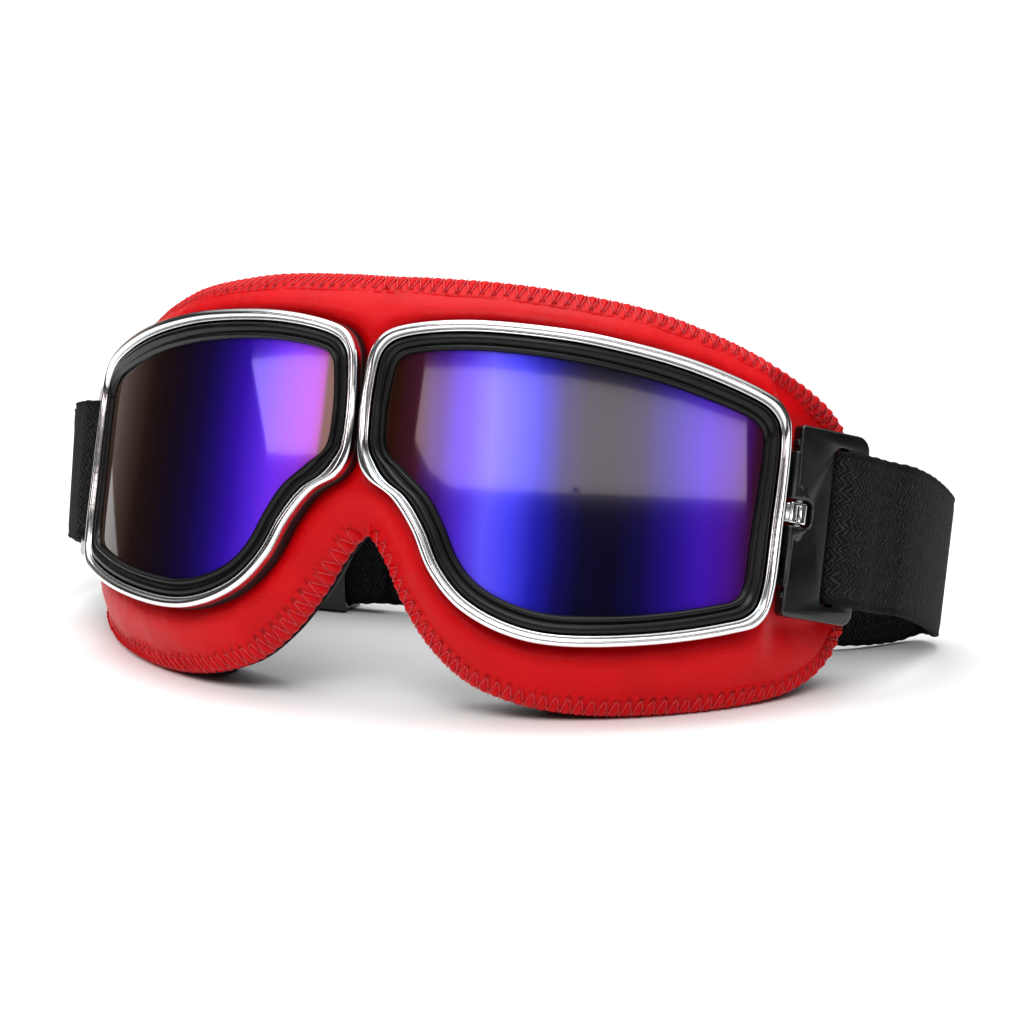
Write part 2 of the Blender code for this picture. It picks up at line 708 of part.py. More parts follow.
def build_bridge():
    """Plate behind the two shells at the nose, held by two rivets each side."""
    at = panel(0.0, 46.0, 0.0)
    at.x = 0.0
    up = Vector((0, math.sin(LEAN_BACK), math.cos(LEAN_BACK)))
    off = Vector((0, -math.cos(LEAN_BACK), math.sin(LEAN_BACK)))
    frame = Matrix((Vector((1, 0, 0)), up, off)).transposed().to_4x4()
    frame.translation = at
    loop = rounded_rect(-4.05, 4.05, -7.6, 7.6, 1.2)
    plate = add_object("nose_bridge", plate_mesh("nose_bridge", [loop], -8.7, -6.9, frame), "steel")
    rivets = []
    for level, place in ((5.5, "upper"), (-5.5, "lower")):
        spot = (2.95, level, 0.0)
        hole = cutter(f"hole_{place}", rod_mesh(f"hole_{place}", (*spot[:2], -6.0), 0.65, 5.0, frame, 12))
        twin = cutter(f"hole_{place}_b", rod_mesh(f"hole_{place}_b", (-2.95, level, -6.0), 0.65, 5.0,
                                                  frame, 12))
        boolean(plate, [hole, twin])
        boolean(bpy.data.objects["frame_shell_left"], [hole])
        rivet = rod_mesh(f"rivet_{place}_left", (2.95, level, -6.8), 0.4, 2.2, frame, 12)
        rivets.append(add_object(f"rivet_{place}_left", rivet, "steel",
                                 frame @ Vector((2.95 * MM, level * MM, -6.8 * MM))))
    return rivets


def main():
    lining = build_mask()
    side = build_panel_side()
    whole_mask("lining", lining, "lining")
    side += build_hinge_side()
    side += build_bridge()
    side += build_strap()
    bpy.context.view_layer.update()
    for obj in side:
        mirrored(obj, obj.name.replace("_left", "_right"))


clear_scene()
PARTS = collection("motorcycle_goggles")
CUTTERS = collection("cutters")
main()
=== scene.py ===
"""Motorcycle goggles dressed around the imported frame.

A padded faux-leather mask carries two chrome-rimmed mirror lenses.  Hinged plastic buckles at the
rims' outer sides hold one elastic strap, which two adjusters shorten behind the head.
"""
import logging
import math
from dataclasses import dataclass, field
from enum import Enum

import bmesh
import bpy
import numpy as np
from mathutils import Matrix, Vector, noise


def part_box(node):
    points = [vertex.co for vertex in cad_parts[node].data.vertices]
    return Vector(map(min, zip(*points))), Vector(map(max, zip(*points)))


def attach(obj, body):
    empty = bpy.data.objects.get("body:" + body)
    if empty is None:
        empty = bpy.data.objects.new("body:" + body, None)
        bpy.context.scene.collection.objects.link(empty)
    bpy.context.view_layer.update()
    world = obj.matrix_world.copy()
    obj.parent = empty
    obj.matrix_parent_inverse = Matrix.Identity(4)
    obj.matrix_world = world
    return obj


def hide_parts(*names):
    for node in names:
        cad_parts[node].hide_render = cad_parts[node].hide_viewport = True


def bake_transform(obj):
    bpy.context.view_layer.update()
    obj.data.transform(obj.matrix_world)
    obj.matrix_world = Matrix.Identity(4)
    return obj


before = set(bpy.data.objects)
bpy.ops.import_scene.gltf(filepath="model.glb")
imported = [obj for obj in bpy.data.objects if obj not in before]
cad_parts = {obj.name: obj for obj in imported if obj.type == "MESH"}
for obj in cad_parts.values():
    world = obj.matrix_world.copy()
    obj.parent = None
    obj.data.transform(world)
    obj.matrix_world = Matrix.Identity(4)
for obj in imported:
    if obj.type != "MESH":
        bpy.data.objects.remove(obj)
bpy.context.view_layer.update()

LOG = logging.getLogger("goggles")
MM = 0.001
MASK_BODY = "mask"


# ------------------------------------------------------------------ named options

class Side(Enum):
    """The wearer's left eye lies on +X, the right eye on -X."""

    LEFT = 1
    RIGHT = -1

    @property
    def word(self) -> str:
        """Name used in the frame for this side."""
        return self.name.lower()

    @property
    def buckle_body(self) -> str:
        """Moving body of this side's buckle."""
        return f"buckle_{self.word}_body"

    @property
    def slide_body(self) -> str:
        """Moving body of this side's strap adjuster."""
        return f"slide_{self.word}_body"


class Spread(Enum):
    """How the rows of a grid of points join up."""

    OPEN = 0
    CLOSED = 1


# ------------------------------------------------------------------ colour and node helpers

def linear(hex_code: str) -> tuple[float, float, float, float]:
    """Turn an sRGB hex colour into linear light.

    Args:
        hex_code: six hex digits, with or without a leading mark.

    Returns:
        Linear red, green and blue, and an alpha of one.
    """
    digits = hex_code.lstrip("#")
    parts = [int(digits[i:i + 2], 16) / 255.0 for i in (0, 2, 4)]
    flat = [p / 12.92 if p <= 0.04045 else ((p + 0.055) / 1.055) ** 2.4 for p in parts]
    return flat[0], flat[1], flat[2], 1.0


def add_node(tree: bpy.types.NodeTree, kind: str, settings: dict | None = None,
             inputs: dict | None = None) -> bpy.types.Node:
    """Add one node with its settings and links.

    Args:
        tree: node tree that takes the node.
        kind: Blender's type name for the node.
        settings: properties set on the node itself.
        inputs: input sockets by name or index, each a value or a socket to link from.

    Returns:
        The new node.
    """
    node = tree.nodes.new(kind)
    for key, value in (settings or {}).items():
        setattr(node, key, value)
    for key, value in (inputs or {}).items():
        socket = node.inputs[key]
        if isinstance(value, bpy.types.NodeSocket):
            tree.links.new(value, socket)
        else:
            socket.default_value = value
    return node


def set_ramp(node: bpy.types.Node, stops: list[tuple[float, tuple]]) -> None:
    """Fill a colour ramp.

    Args:
        node: the colour ramp.
        stops: position and linear colour of each stop.
    """
    ramp = node.color_ramp
    while len(ramp.elements) > 1:
        ramp.elements.remove(ramp.elements[-1])
    ramp.elements[0].position = stops[0][0]
    ramp.elements[0].color = stops[0][1]
    for position, colour in stops[1:]:
        element = ramp.elements.new(position)
        element.color = colour


def new_material(name: str) -> tuple[bpy.types.Material, bpy.types.NodeTree, bpy.types.Node]:
    """Start a material with its principled shader.

    Args:
        name: the material's name.

    Returns:
        The material, its node tree and the shader node.
    """
    material = bpy.data.materials.new(name)
    material.use_nodes = True
    tree = material.node_tree
    return material, tree, tree.nodes["Principled BSDF"]


def set_shader(tree: bpy.types.NodeTree, shader: bpy.types.Node, values: dict) -> None:
    """Link sockets to the shader and set constants straight on its own sockets."""
    for key, value in values.items():
        if isinstance(value, bpy.types.NodeSocket):
            tree.links.new(value, shader.inputs[key])
        else:
            shader.inputs[key].default_value = value


def object_place(tree: bpy.types.NodeTree) -> bpy.types.NodeSocket:
    """Position on the piece itself, in metres."""
    return add_node(tree, "ShaderNodeTexCoord").outputs["Object"]


def own_place(tree: bpy.types.NodeTree, name: str) -> tuple[bpy.types.NodeSocket, bpy.types.Node]:
    """A piece's stored three-part value, whole and as a node with its X, Y and Z."""
    whole = add_node(tree, "ShaderNodeAttribute", {"attribute_name": name}).outputs["Vector"]
    return whole, add_node(tree, "ShaderNodeSeparateXYZ", None, {"Vector": whole})


def add_noise(tree: bpy.types.NodeTree, place: bpy.types.NodeSocket, scale: float,
              detail: float = 2.0, roughness: float = 0.5) -> bpy.types.NodeSocket:
    """Fractal noise level, about 0 to 1."""
    return add_node(tree, "ShaderNodeTexNoise", None, {"Vector": place, "Scale": scale, "Detail": detail,
                                                       "Roughness": roughness}).outputs["Fac"]


def add_bands(tree: bpy.types.NodeTree, place: bpy.types.NodeSocket, direction: str,
              inputs: dict) -> bpy.types.NodeSocket:
    """Wavy bands across one direction, 0 to 1."""
    return add_node(tree, "ShaderNodeTexWave", {"wave_type": "BANDS", "bands_direction": direction},
                    {"Vector": place, **inputs}).outputs["Fac"]


def add_cells(tree: bpy.types.NodeTree, place: bpy.types.NodeSocket,
              size_mm: float) -> bpy.types.NodeSocket:
    """Distance to the middle of the nearest cell of a random pattern."""
    return add_node(tree, "ShaderNodeTexVoronoi", {"feature": "F1"},
                    {"Vector": place, "Scale": 1.0 / (size_mm * MM)}).outputs["Distance"]


def add_math(tree: bpy.types.NodeTree, operation: str, *values) -> bpy.types.NodeSocket:
    """Result of one sum over sockets or numbers."""
    return add_node(tree, "ShaderNodeMath", {"operation": operation}, dict(enumerate(values))).outputs[0]


def add_range(tree: bpy.types.NodeTree, level: bpy.types.NodeSocket, span: tuple[float, float],
              goal: tuple[float, float] = (0.0, 1.0)) -> bpy.types.NodeSocket:
    """Level stretched from one span to another."""
    return add_node(tree, "ShaderNodeMapRange", None,
                    {"Value": level, "From Min": span[0], "From Max": span[1],
                     "To Min": goal[0], "To Max": goal[1]}).outputs["Result"]


def add_tint(tree: bpy.types.NodeTree, level: bpy.types.NodeSocket,
             stops: tuple[tuple[float, str], ...]) -> bpy.types.NodeSocket:
    """Colour of a level along a ramp of sRGB stops."""
    node = add_node(tree, "ShaderNodeValToRGB", None, {"Fac": level})
    set_ramp(node, [(at, linear(code)) for at, code in stops])
    return node.outputs["Color"]


def add_mix(tree: bpy.types.NodeTree, share: bpy.types.NodeSocket, colour: bpy.types.NodeSocket,
            other: str) -> bpy.types.NodeSocket:
    """A colour that gives way to another as a share rises."""
    return add_node(tree, "ShaderNodeMix", {"data_type": "RGBA"},
                    {"Factor": share, "A": colour, "B": linear(other)}).outputs["Result"]


def add_relief(tree: bpy.types.NodeTree, height: bpy.types.NodeSocket, strength: float,
               depth_mm: float) -> bpy.types.NodeSocket:
    """Normal of a surface bumped by a height."""
    return add_node(tree, "ShaderNodeBump", None,
                    {"Height": height, "Strength": strength, "Distance": depth_mm * MM}).outputs["Normal"]


# ------------------------------------------------------------------ finishes

@dataclass(frozen=True)
class FauxLeather:
    """Polyurethane-coated faux leather, hot-embossed with a fine pebble grain."""

    name: str = "faux_leather_red"
    ground: str = "C60109"
    bloom: str = "CC020B"
    hollow: str = "BC0108"
    # dark red of the painted shade in the stitch holes and grooves
    painted_shade: str = "3A0004"
    pebble_mm: float = 0.55
    mottle_mm: float = 14.0
    roughness: float = 0.40

    def build(self) -> bpy.types.Material:
        """Semi-gloss red whose pebbles break the highlight into a soft sheen."""
        material, tree, shader = new_material(self.name)
        place = object_place(tree)
        mottle = add_noise(tree, place, 1.0 / (self.mottle_mm * MM), 3.0, 0.55)
        tint = add_tint(tree, mottle, ((0.30, self.hollow), (0.50, self.ground), (0.72, self.bloom)))
        pores = add_noise(tree, place, 2.2 / (self.pebble_mm * MM))
        grain = add_math(tree, "MULTIPLY_ADD", pores, 0.5, add_cells(tree, place, self.pebble_mm))
        # stored share of painted shade: the leather turns dark red in the needle holes and grooves of the
        # overlock
        _, painted_stitch_shade = own_place(tree, "painted_stitch_shade")
        # a clear polyurethane top coat gives the soft bloom along the lit top edge
        set_shader(tree, shader, {
            "Base Color": add_mix(tree, painted_stitch_shade.outputs["X"], tint, self.painted_shade),
            "Roughness": add_range(tree, mottle, (0.3, 0.7),
                                   (self.roughness - 0.05, self.roughness + 0.07)),
            "Normal": add_relief(tree, grain, 0.30, 0.12),
            "Specular IOR Level": 0.11, "Coat Weight": 0.03, "Coat Roughness": 0.3})
        return material


@dataclass(frozen=True)
class BondedThread:
    """Bonded polyester sewing thread, three plies twisted and waxed."""

    name: str = "bonded_thread_red"
    ply: str = "D4202B"
    shade: str = "A00A14"
    twist_mm: float = 0.5

    def build(self) -> bpy.types.Material:
        """Near the leather's own red with a waxy gloss, so that only the lit stitches show."""
        material, tree, shader = new_material(self.name)
        plies = add_bands(tree, object_place(tree), "DIAGONAL",
                          {"Scale": 0.3 / (self.twist_mm * MM), "Distortion": 1.0})
        set_shader(tree, shader, {
            "Base Color": add_tint(tree, plies, ((0.0, self.shade), (0.55, self.ply))),
            "Normal": add_relief(tree, plies, 0.4, 0.1),
            "Roughness": 0.42, "Sheen Weight": 0.12, "Sheen Roughness": 0.3,
            "Sheen Tint": linear("FFC0C4")})
        return material


@dataclass(frozen=True)
class ChromePlate:
    """Bright nickel-chrome plating on a rolled steel section, buffed along its length."""

    name: str = "chrome_plate"
    tone: str = "E4E6E8"
    haze_mm: float = 6.0
    buff_mm: float = 1 / 1.8

    def build(self) -> bpy.types.Material:
        """A near mirror with faint handling haze and hair-fine buffing lines."""
        material, tree, shader = new_material(self.name)
        place = object_place(tree)
        haze = add_noise(tree, place, 1.0 / (self.haze_mm * MM), 4.0)
        buff = add_noise(tree, place, 1.0 / (self.buff_mm * MM))
        set_shader(tree, shader, {
            "Base Color": linear(self.tone), "Metallic": 1.0,
            "Roughness": add_range(tree, haze, (0.35, 0.75), (0.09, 0.16)),
            "Normal": add_relief(tree, buff, 0.02, 0.01)})
        return material


@dataclass(frozen=True)
class MouldedBlack:
    """Black polymer straight from a textured mould; covers rubber, nylon and ABS pieces."""

    name: str
    tone: str
    worn: str
    roughness: float
    spark_mm: float = 0.35
    relief: float = 0.10
    coat: float = 0.0
    sheen: float = 0.38

    def build(self) -> bpy.types.Material:
        """Deep black with the faint orange peel and uneven gloss of a moulding."""
        material, tree, shader = new_material(self.name)
        place = object_place(tree)
        spark = add_noise(tree, place, 1.0 / (self.spark_mm * MM), 3.0, 0.6)
        drift = add_noise(tree, place, 120.0, 3.0)
        set_shader(tree, shader, {
            "Base Color": add_tint(tree, drift, ((0.35, self.tone), (0.75, self.worn))),
            "Roughness": add_range(tree, drift, (0.3, 0.7),
                                   (self.roughness - 0.05, self.roughness + 0.06)),
            "Normal": add_relief(tree, spark, self.relief, 0.06),
            "Specular IOR Level": self.sheen, "Coat Weight": self.coat, "Coat Roughness": 0.12})
        return material


@dataclass(frozen=True)
class MirrorCoat:
    """Polycarbonate lens, vacuum-coated with a thin oxide mirror stack; its colour bands are partly the
    coating's tint and partly painted reflection of the studio lights.
    """

    name: str
    stops: tuple[tuple[float, str], ...]
    span_mm: float = 90.0

    def build(self) -> bpy.types.Material:
        """Bands of coating tint and painted reflection of the studio lights round the wrap, under a hard
        clear coat.
        """
        material, tree, shader = new_material(self.name)
        whole, parts = own_place(tree, "wrap_mm")
        # the painted reflection bands wander a little from bottom to top, so they are not ruled lines
        wander = add_noise(tree, whole, 0.035, 1.0)
        drift = add_math(tree, "MULTIPLY_ADD", wander, 3.0, parts.outputs["X"])
        share = add_range(tree, drift, (1.5, self.span_mm + 1.5))
        set_shader(tree, shader, {
            "Base Color": add_tint(tree, share, tuple((s / self.span_mm, c) for s, c in self.stops)),
            "Metallic": 0.2, "Roughness": 0.05, "Specular IOR Level": 0.3,
            "Coat Weight": 0.3, "Coat Roughness": 0.02})
        return material


@dataclass(frozen=True)
class KnittedElastic:
    """Knitted elastic webbing: rubber warp covered in textured black polyester."""

    name: str = "knitted_elastic_black"
    ground: str = "050506"
    yarn: str = "0E0E0F"
    fleck: str = "36363A"
    selvedge: str = "0A0A0B"
    rib_mm: float = 1.5
    width_mm: float = 32.0
    edge_mm: float = 1.3

    def build(self) -> bpy.types.Material:
        """Heathered, slightly fuzzy black with broken chevron rows and plain selvedges."""
        material, tree, shader = new_material(self.name)
        weave, parts = own_place(tree, "weave_mm")
        across = parts.outputs["Y"]
        # each rib is a chevron: the run along the strap is sheared up and down by turns
        fold = add_math(tree, "PINGPONG", across, self.rib_mm)
        slant = add_math(tree, "MULTIPLY_ADD", fold, 0.9, parts.outputs["X"])
        lie = add_node(tree, "ShaderNodeCombineXYZ", None,
                       {"X": slant, "Y": across, "Z": parts.outputs["Z"]}).outputs["Vector"]
        yarns = add_bands(tree, lie, "X", {"Scale": 0.34, "Distortion": 8.5, "Detail": 3.0,
                                           "Detail Scale": 1.1})
        flecks = add_noise(tree, lie, 1.9, 4.0, 0.8)
        loft = add_math(tree, "MULTIPLY", yarns, flecks)
        tint = add_tint(tree, loft, ((0.08, self.ground), (0.33, self.yarn), (0.62, self.fleck)))
        inside = self.width_mm / 2 - self.edge_mm
        edge = add_range(tree, add_math(tree, "ABSOLUTE", across), (inside - 0.25, inside))
        wobble = add_noise(tree, weave, 1.6, 3.0)
        fuzz = add_math(tree, "MULTIPLY_ADD", wobble, 0.6, loft)
        set_shader(tree, shader, {
            "Base Color": add_mix(tree, edge, tint, self.selvedge),
            "Normal": add_relief(tree, fuzz, 0.8, 0.35),
            "Roughness": 0.75, "Specular IOR Level": 0.12, "Sheen Weight": 0.02,
            "Sheen Roughness": 0.4, "Sheen Tint": linear("8A8A8C")})
        return material


@dataclass(frozen=True)
class OpenCellFoam:
    """Open-cell polyurethane foam, cut and skinned with brushed nylon."""

    name: str = "brushed_foam_black"
    pore_mm: float = 0.9

    def build(self) -> bpy.types.Material:
        """Soft, light-drinking black with small pores."""
        material, tree, shader = new_material(self.name)
        place = object_place(tree)
        nap = add_noise(tree, place, 900.0, 4.0)
        height = add_math(tree, "MULTIPLY_ADD", nap, 0.7, add_cells(tree, place, self.pore_mm))
        set_shader(tree, shader, {
            "Base Color": add_tint(tree, nap, ((0.3, "0D0D0E"), (0.7, "1C1C1E"))),
            "Normal": add_relief(tree, height, 0.5, 0.3),
            "Roughness": 0.95, "Specular IOR Level": 0.15, "Sheen Weight": 0.3,
            "Sheen Roughness": 0.6, "Sheen Tint": linear("6A6A6E")})
        return material


@dataclass(frozen=True)
class FleeceLining:
    """Brushed tricot lining, warp-knitted polyester laminated to the foam."""

    name: str = "tricot_lining_black"
    loop_mm: float = 0.8

    def build(self) -> bpy.types.Material:
        """Matt charcoal with a fine regular loop pattern."""
        material, tree, shader = new_material(self.name)
        loops = add_bands(tree, object_place(tree), "Z",
                          {"Scale": 0.32 / (self.loop_mm * MM), "Distortion": 3.0, "Detail": 2.0,
                           "Detail Scale": 3.0})
        set_shader(tree, shader, {
            "Base Color": add_tint(tree, loops, ((0.2, "141415"), (0.8, "2A2A2D"))),
            "Normal": add_relief(tree, loops, 0.5, 0.2),
            "Roughness": 0.9, "Sheen Weight": 0.35, "Sheen Roughness": 0.5,
            "Sheen Tint": linear("77777C")})
        return material


@dataclass(frozen=True)
class TurnedSteel:
    """Zinc-plated mild steel, cut to length and tumbled."""

    name: str = "zinc_steel"
    tone: str = "B9BBBF"

    def build(self) -> bpy.types.Material:
        """Grey metal with fine scratches."""
        material, tree, shader = new_material(self.name)
        scratch = add_noise(tree, object_place(tree), 2500.0, 3.0)
        set_shader(tree, shader, {
            "Base Color": linear(self.tone), "Metallic": 1.0,
            "Roughness": add_range(tree, scratch, (0.0, 1.0), (0.2, 0.42))})
        return material


# Colour of each lens by distance round the wrap from the nose: the bright, black and purple bands are
# painted reflection of the studio lights, tinted by the mirror coating, so each lens has its own list.
LEFT_COAT_AND_PAINTED_REFLECTION = ((8.0, "2A1108"), (13.0, "3E1428"), (18.0, "3C1080"), (23.0, "4C2BD0"),
             (28.0, "6055FF"), (33.0, "4341F2"), (38.0, "201DAA"), (43.0, "120D57"),
             (48.0, "0A0828"), (54.0, "090721"), (60.0, "0F0842"), (66.0, "210E80"),
             (73.0, "3E15B0"), (79.0, "471290"), (84.0, "3A1030"), (88.0, "2A0C10"))
RIGHT_COAT_AND_PAINTED_REFLECTION = ((5.0, "4A1A10"), (8.6, "4A1A10"), (9.6, "8A2A98"), (14.0, "8430E0"), (20.0, "6A2CEC"),
              (25.0, "4A20CC"), (30.0, "3010A0"), (36.0, "1C0A66"), (42.0, "12063A"),
              (49.0, "100620"), (56.0, "140810"), (64.0, "1D0E0C"), (72.0, "2C1A14"),
              (80.0, "3A2A24"), (86.0, "463630"))


class Workshop:
    """Builds each finish once and hands it out by name."""

    def __init__(self) -> None:
        """Make every material used on the goggles."""
        self.leather = FauxLeather().build()
        self.thread = BondedThread().build()
        self.chrome = ChromePlate().build()
        self.rubber = MouldedBlack("gasket_rubber_black", "060607", "0B0B0C", 0.24, 0.5, 0.05,
                                   sheen=0.22).build()
        self.shell = MouldedBlack("abs_shell_black", "0A0A0A", "151516", 0.42, 0.3, 0.15).build()
        self.nylon = MouldedBlack("moulded_nylon_black", "0A0B0C", "17191B", 0.26, 0.6, 0.10,
                                  0.35).build()
        self.lens = {Side.LEFT: MirrorCoat("mirror_coat_left", LEFT_COAT_AND_PAINTED_REFLECTION).build(),
                     Side.RIGHT: MirrorCoat("mirror_coat_right", RIGHT_COAT_AND_PAINTED_REFLECTION).build()}
        self.elastic = KnittedElastic().build()
        self.foam = OpenCellFoam().build()
        self.lining = FleeceLining().build()
        self.steel = TurnedSteel().build()


# ------------------------------------------------------------------ curves and meshes

def smooth_path(points: list, closed: bool, per_span: int = 8, mirror_ends: bool = False) -> np.ndarray:
    """Carry a rounded curve through the given points.

    Args:
        points: the points it passes through.
        closed: whether the last point joins the first.
        per_span: samples between two neighbouring points.
        mirror_ends: whether an open curve meets its own mirror image squarely at both ends.

    Returns:
        The sampled curve, one row for each sample.
    """
    pts = [np.array(p, float) for p in points]
    count = len(pts)
    if closed:
        ahead = [pts[-1]] + pts + [pts[0], pts[1]]
    elif mirror_ends:
        first = np.array([2 * pts[0][0] - pts[1][0], pts[1][1]])
        last = np.array([2 * pts[-1][0] - pts[-2][0], pts[-2][1]])
        ahead = [first] + pts + [last]
    else:
        ahead = [2 * pts[0] - pts[1]] + pts + [2 * pts[-1] - pts[-2]]
    out = []
    for i in range(count if closed else count - 1):
        a, b, c, d = ahead[i:i + 4]
        for k in range(per_span):
            t = k / per_span
            out.append(0.5 * (2 * b + (c - a) * t + (2 * a - 5 * b + 4 * c - d) * t * t
                              + (3 * b - a - 3 * c + d) * t ** 3))
    if not closed:
        out.append(pts[-1])
    return np.array(out)


def resample(path: np.ndarray, step: float) -> tuple[np.ndarray, np.ndarray]:
    """Space points evenly along a polyline.

    Args:
        path: the polyline.
        step: wanted spacing, in the polyline's own unit.

    Returns:
        The new points and their distance along the line.
    """
    length = np.concatenate([[0.0], np.cumsum(np.linalg.norm(np.diff(path, axis=0), axis=1))])
    count = max(2, int(round(length[-1] / step)) + 1)
    at = np.linspace(0.0, length[-1], count)
    return np.stack([np.interp(at, length, path[:, k]) for k in range(path.shape[1])], axis=1), at


def ease(share: np.ndarray | float) -> np.ndarray | float:
    """Smooth step from 0 to 1 for a share between them."""
    return share * share * (3 - 2 * share)


def unit(vectors: np.ndarray) -> np.ndarray:
    """Rows scaled to a length of one."""
    return vectors / np.linalg.norm(vectors, axis=1)[:, None]


def link(piece: bpy.types.Object) -> bpy.types.Object:
    """Put a new object into the scene and hand it back."""
    bpy.context.scene.collection.objects.link(piece)
    return piece


def distances(path: np.ndarray, points: np.ndarray) -> np.ndarray:
    """Shortest distance from each flat point to a polyline."""
    start = path[:-1][None]
    run = (path[1:] - path[:-1])[None]
    rel = points[:, None, :] - start
    share = np.clip(np.sum(rel * run, axis=2) / np.maximum(np.sum(run * run, axis=2), 1e-12), 0, 1)
    return np.sqrt(np.min(np.sum((rel - run * share[..., None]) ** 2, axis=2), axis=1))


def mesh_object(name: str, verts: np.ndarray, faces: list, material: bpy.types.Material,
                smooth_angle: float = 180.0, weld: float = 1e-7,
                marks: tuple[str, np.ndarray] | None = None) -> bpy.types.Object:
    """Make a mesh object with outward faces.

    Args:
        name: name of the piece.
        verts: points in metres, one row each.
        faces: point numbers of each face.
        material: finish of the whole piece.
        smooth_angle: edges sharper than this many degrees stay crisp.
        weld: points closer than this are joined.
        marks: name and values of a three-part attribute kept at the points.

    Returns:
        The new object, linked to the scene.
    """
    mesh = bpy.data.meshes.new(name)
    mesh.from_pydata([tuple(v) for v in verts], [], faces)
    if marks is not None:
        layer = mesh.attributes.new(marks[0], "FLOAT_VECTOR", "POINT")
        layer.data.foreach_set("vector", np.asarray(marks[1], np.float32).ravel())
    work = bmesh.new()
    work.from_mesh(mesh)
    bmesh.ops.remove_doubles(work, verts=work.verts, dist=weld)
    bmesh.ops.recalc_face_normals(work, faces=work.faces)
    work.to_mesh(mesh)
    work.free()
    mesh.shade_smooth()
    if smooth_angle < 179.0:
        mesh.set_sharp_from_angle(angle=math.radians(smooth_angle))
    mesh.materials.append(material)
    return link(bpy.data.objects.new(name, mesh))


def grid_faces(rows: int, cols: int, row_join: Spread, col_join: Spread, first: int = 0) -> list:
    """Quads of a grid whose points are numbered row by row.

    Args:
        rows: how many rows.
        cols: how many columns.
        row_join: whether the last row joins the first.
        col_join: whether the last column joins the first.
        first: number of the grid's first point.

    Returns:
        Four point numbers for each quad.
    """
    out = []
    for r in range(rows if row_join is Spread.CLOSED else rows - 1):
        below = (r + 1) % rows
        for c in range(cols if col_join is Spread.CLOSED else cols - 1):
            beside = (c + 1) % cols
            out.append((first + r * cols + c, first + r * cols + beside,
                        first + below * cols + beside, first + below * cols + c))
    return out


def mirrored_grid(name: str, grid: np.ndarray, material: bpy.types.Material,
                  row_join: Spread) -> bpy.types.Object:
    """Make a piece from half a grid and its mirror image across the middle.

    Args:
        name: name of the piece.
        grid: points as rows by columns by three; edge rows or columns on the middle weld together.
        material: finish of the piece.
        row_join: whether the last row joins the first on each half.

    Returns:
        The new object.
    """
    rows, cols = grid.shape[:2]
    flat = grid.reshape(-1, 3)
    other = flat * np.array([-1.0, 1.0, 1.0])
    faces = grid_faces(rows, cols, row_join, Spread.CLOSED)
    faces += [f[::-1] for f in grid_faces(rows, cols, row_join, Spread.CLOSED, rows * cols)]
    verts = np.concatenate([flat, other])
    inside = {i for i in range(len(verts)) if abs(verts[i, 0]) < 1e-9}
    faces = [f for f in faces if not all(i in inside for i in f)]
    return mesh_object(name, verts, faces, material, weld=2e-6)


def set_attribute(piece: bpy.types.Object, name: str, values: np.ndarray) -> None:
    """Store a three-part value at each of a piece's points for its pattern to follow."""
    data = piece.data.attributes.new(name, "FLOAT_VECTOR", "POINT")
    data.data.foreach_set("vector", np.asarray(values, np.float32).ravel())


def fractal(points: np.ndarray, scale: float, octaves: int = 3) -> np.ndarray:
    """Seeded, repeatable roughness at each point, about -1 to 1."""
    return np.array([noise.fractal(Vector(p) * scale, 0.8, 2.1, octaves) for p in points])


def rounded_loop(corners: list[tuple[float, float, float]], steps: int = 6) -> list:
    """Round each corner of a polygon.

    Args:
        corners: x, y and radius of each corner, in order round the polygon.
        steps: segments in each rounded corner.

    Returns:
        Points of the rounded polygon.
    """
    out = []
    count = len(corners)
    for i in range(count):
        here = np.array(corners[i][:2])
        back = np.array(corners[i - 1][:2]) - here
        ahead = np.array(corners[(i + 1) % count][:2]) - here
        u, w = back / np.linalg.norm(back), ahead / np.linalg.norm(ahead)
        half = math.acos(max(-1.0, min(1.0, float(u @ w)))) / 2
        reach = corners[i][2] / math.tan(half)
        centre = here + (u + w) / np.linalg.norm(u + w) * corners[i][2] / math.sin(half)
        start, end = here + u * reach - centre, here + w * reach - centre
        a0, a1 = math.atan2(start[1], start[0]), math.atan2(end[1], end[0])
        turn = (a1 - a0 + math.pi) % (2 * math.pi) - math.pi
        for k in range(steps + 1):
            a = a0 + turn * k / steps
            out.append(tuple(centre + corners[i][2] * np.array([math.cos(a), math.sin(a)])))
    return out


def plate_object(name: str, loops: list, low: float, high: float, round_mm: float,
                 frame_at: Matrix, material: bpy.types.Material) -> bpy.types.Object:
    """Flat plate with rounded rims, cut from closed outlines.

    Args:
        name: name of the piece.
        loops: outer outline, then holes, in mm.
        low: lower face along the plate's third axis, in mm.
        high: upper face, in mm.
        round_mm: radius on every rim.
        frame_at: local frame of the plate in the goggles' frame.
        material: finish of the plate.

    Returns:
        The new object.
    """
    curve = bpy.data.curves.new(name, "CURVE")
    curve.dimensions = "2D"
    curve.fill_mode = "BOTH"
    curve.extrude = ((high - low) / 2 - round_mm) * MM
    curve.bevel_depth = round_mm * MM
    curve.bevel_resolution = 3
    curve.offset = -round_mm * MM
    for loop in loops:
        spline = curve.splines.new("POLY")
        spline.points.add(len(loop) - 1)
        for point, (x, y) in zip(spline.points, loop):
            point.co = (x * MM, y * MM, 0.0, 1.0)
        spline.use_cyclic_u = True
    holder = link(bpy.data.objects.new(name + "_outline", curve))
    bpy.context.view_layer.update()
    graph = bpy.context.evaluated_depsgraph_get()
    mesh = bpy.data.meshes.new_from_object(holder.evaluated_get(graph), depsgraph=graph)
    bpy.data.objects.remove(holder, do_unlink=True)
    bpy.data.curves.remove(curve)
    mesh.transform(frame_at @ Matrix.Translation((0, 0, (high + low) / 2 * MM)))
    verts = np.array([v.co for v in mesh.vertices])
    faces = [tuple(p.vertices) for p in mesh.polygons]
    bpy.data.meshes.remove(mesh)
    return mesh_object(name, verts, faces, material, 40.0, 2e-6)


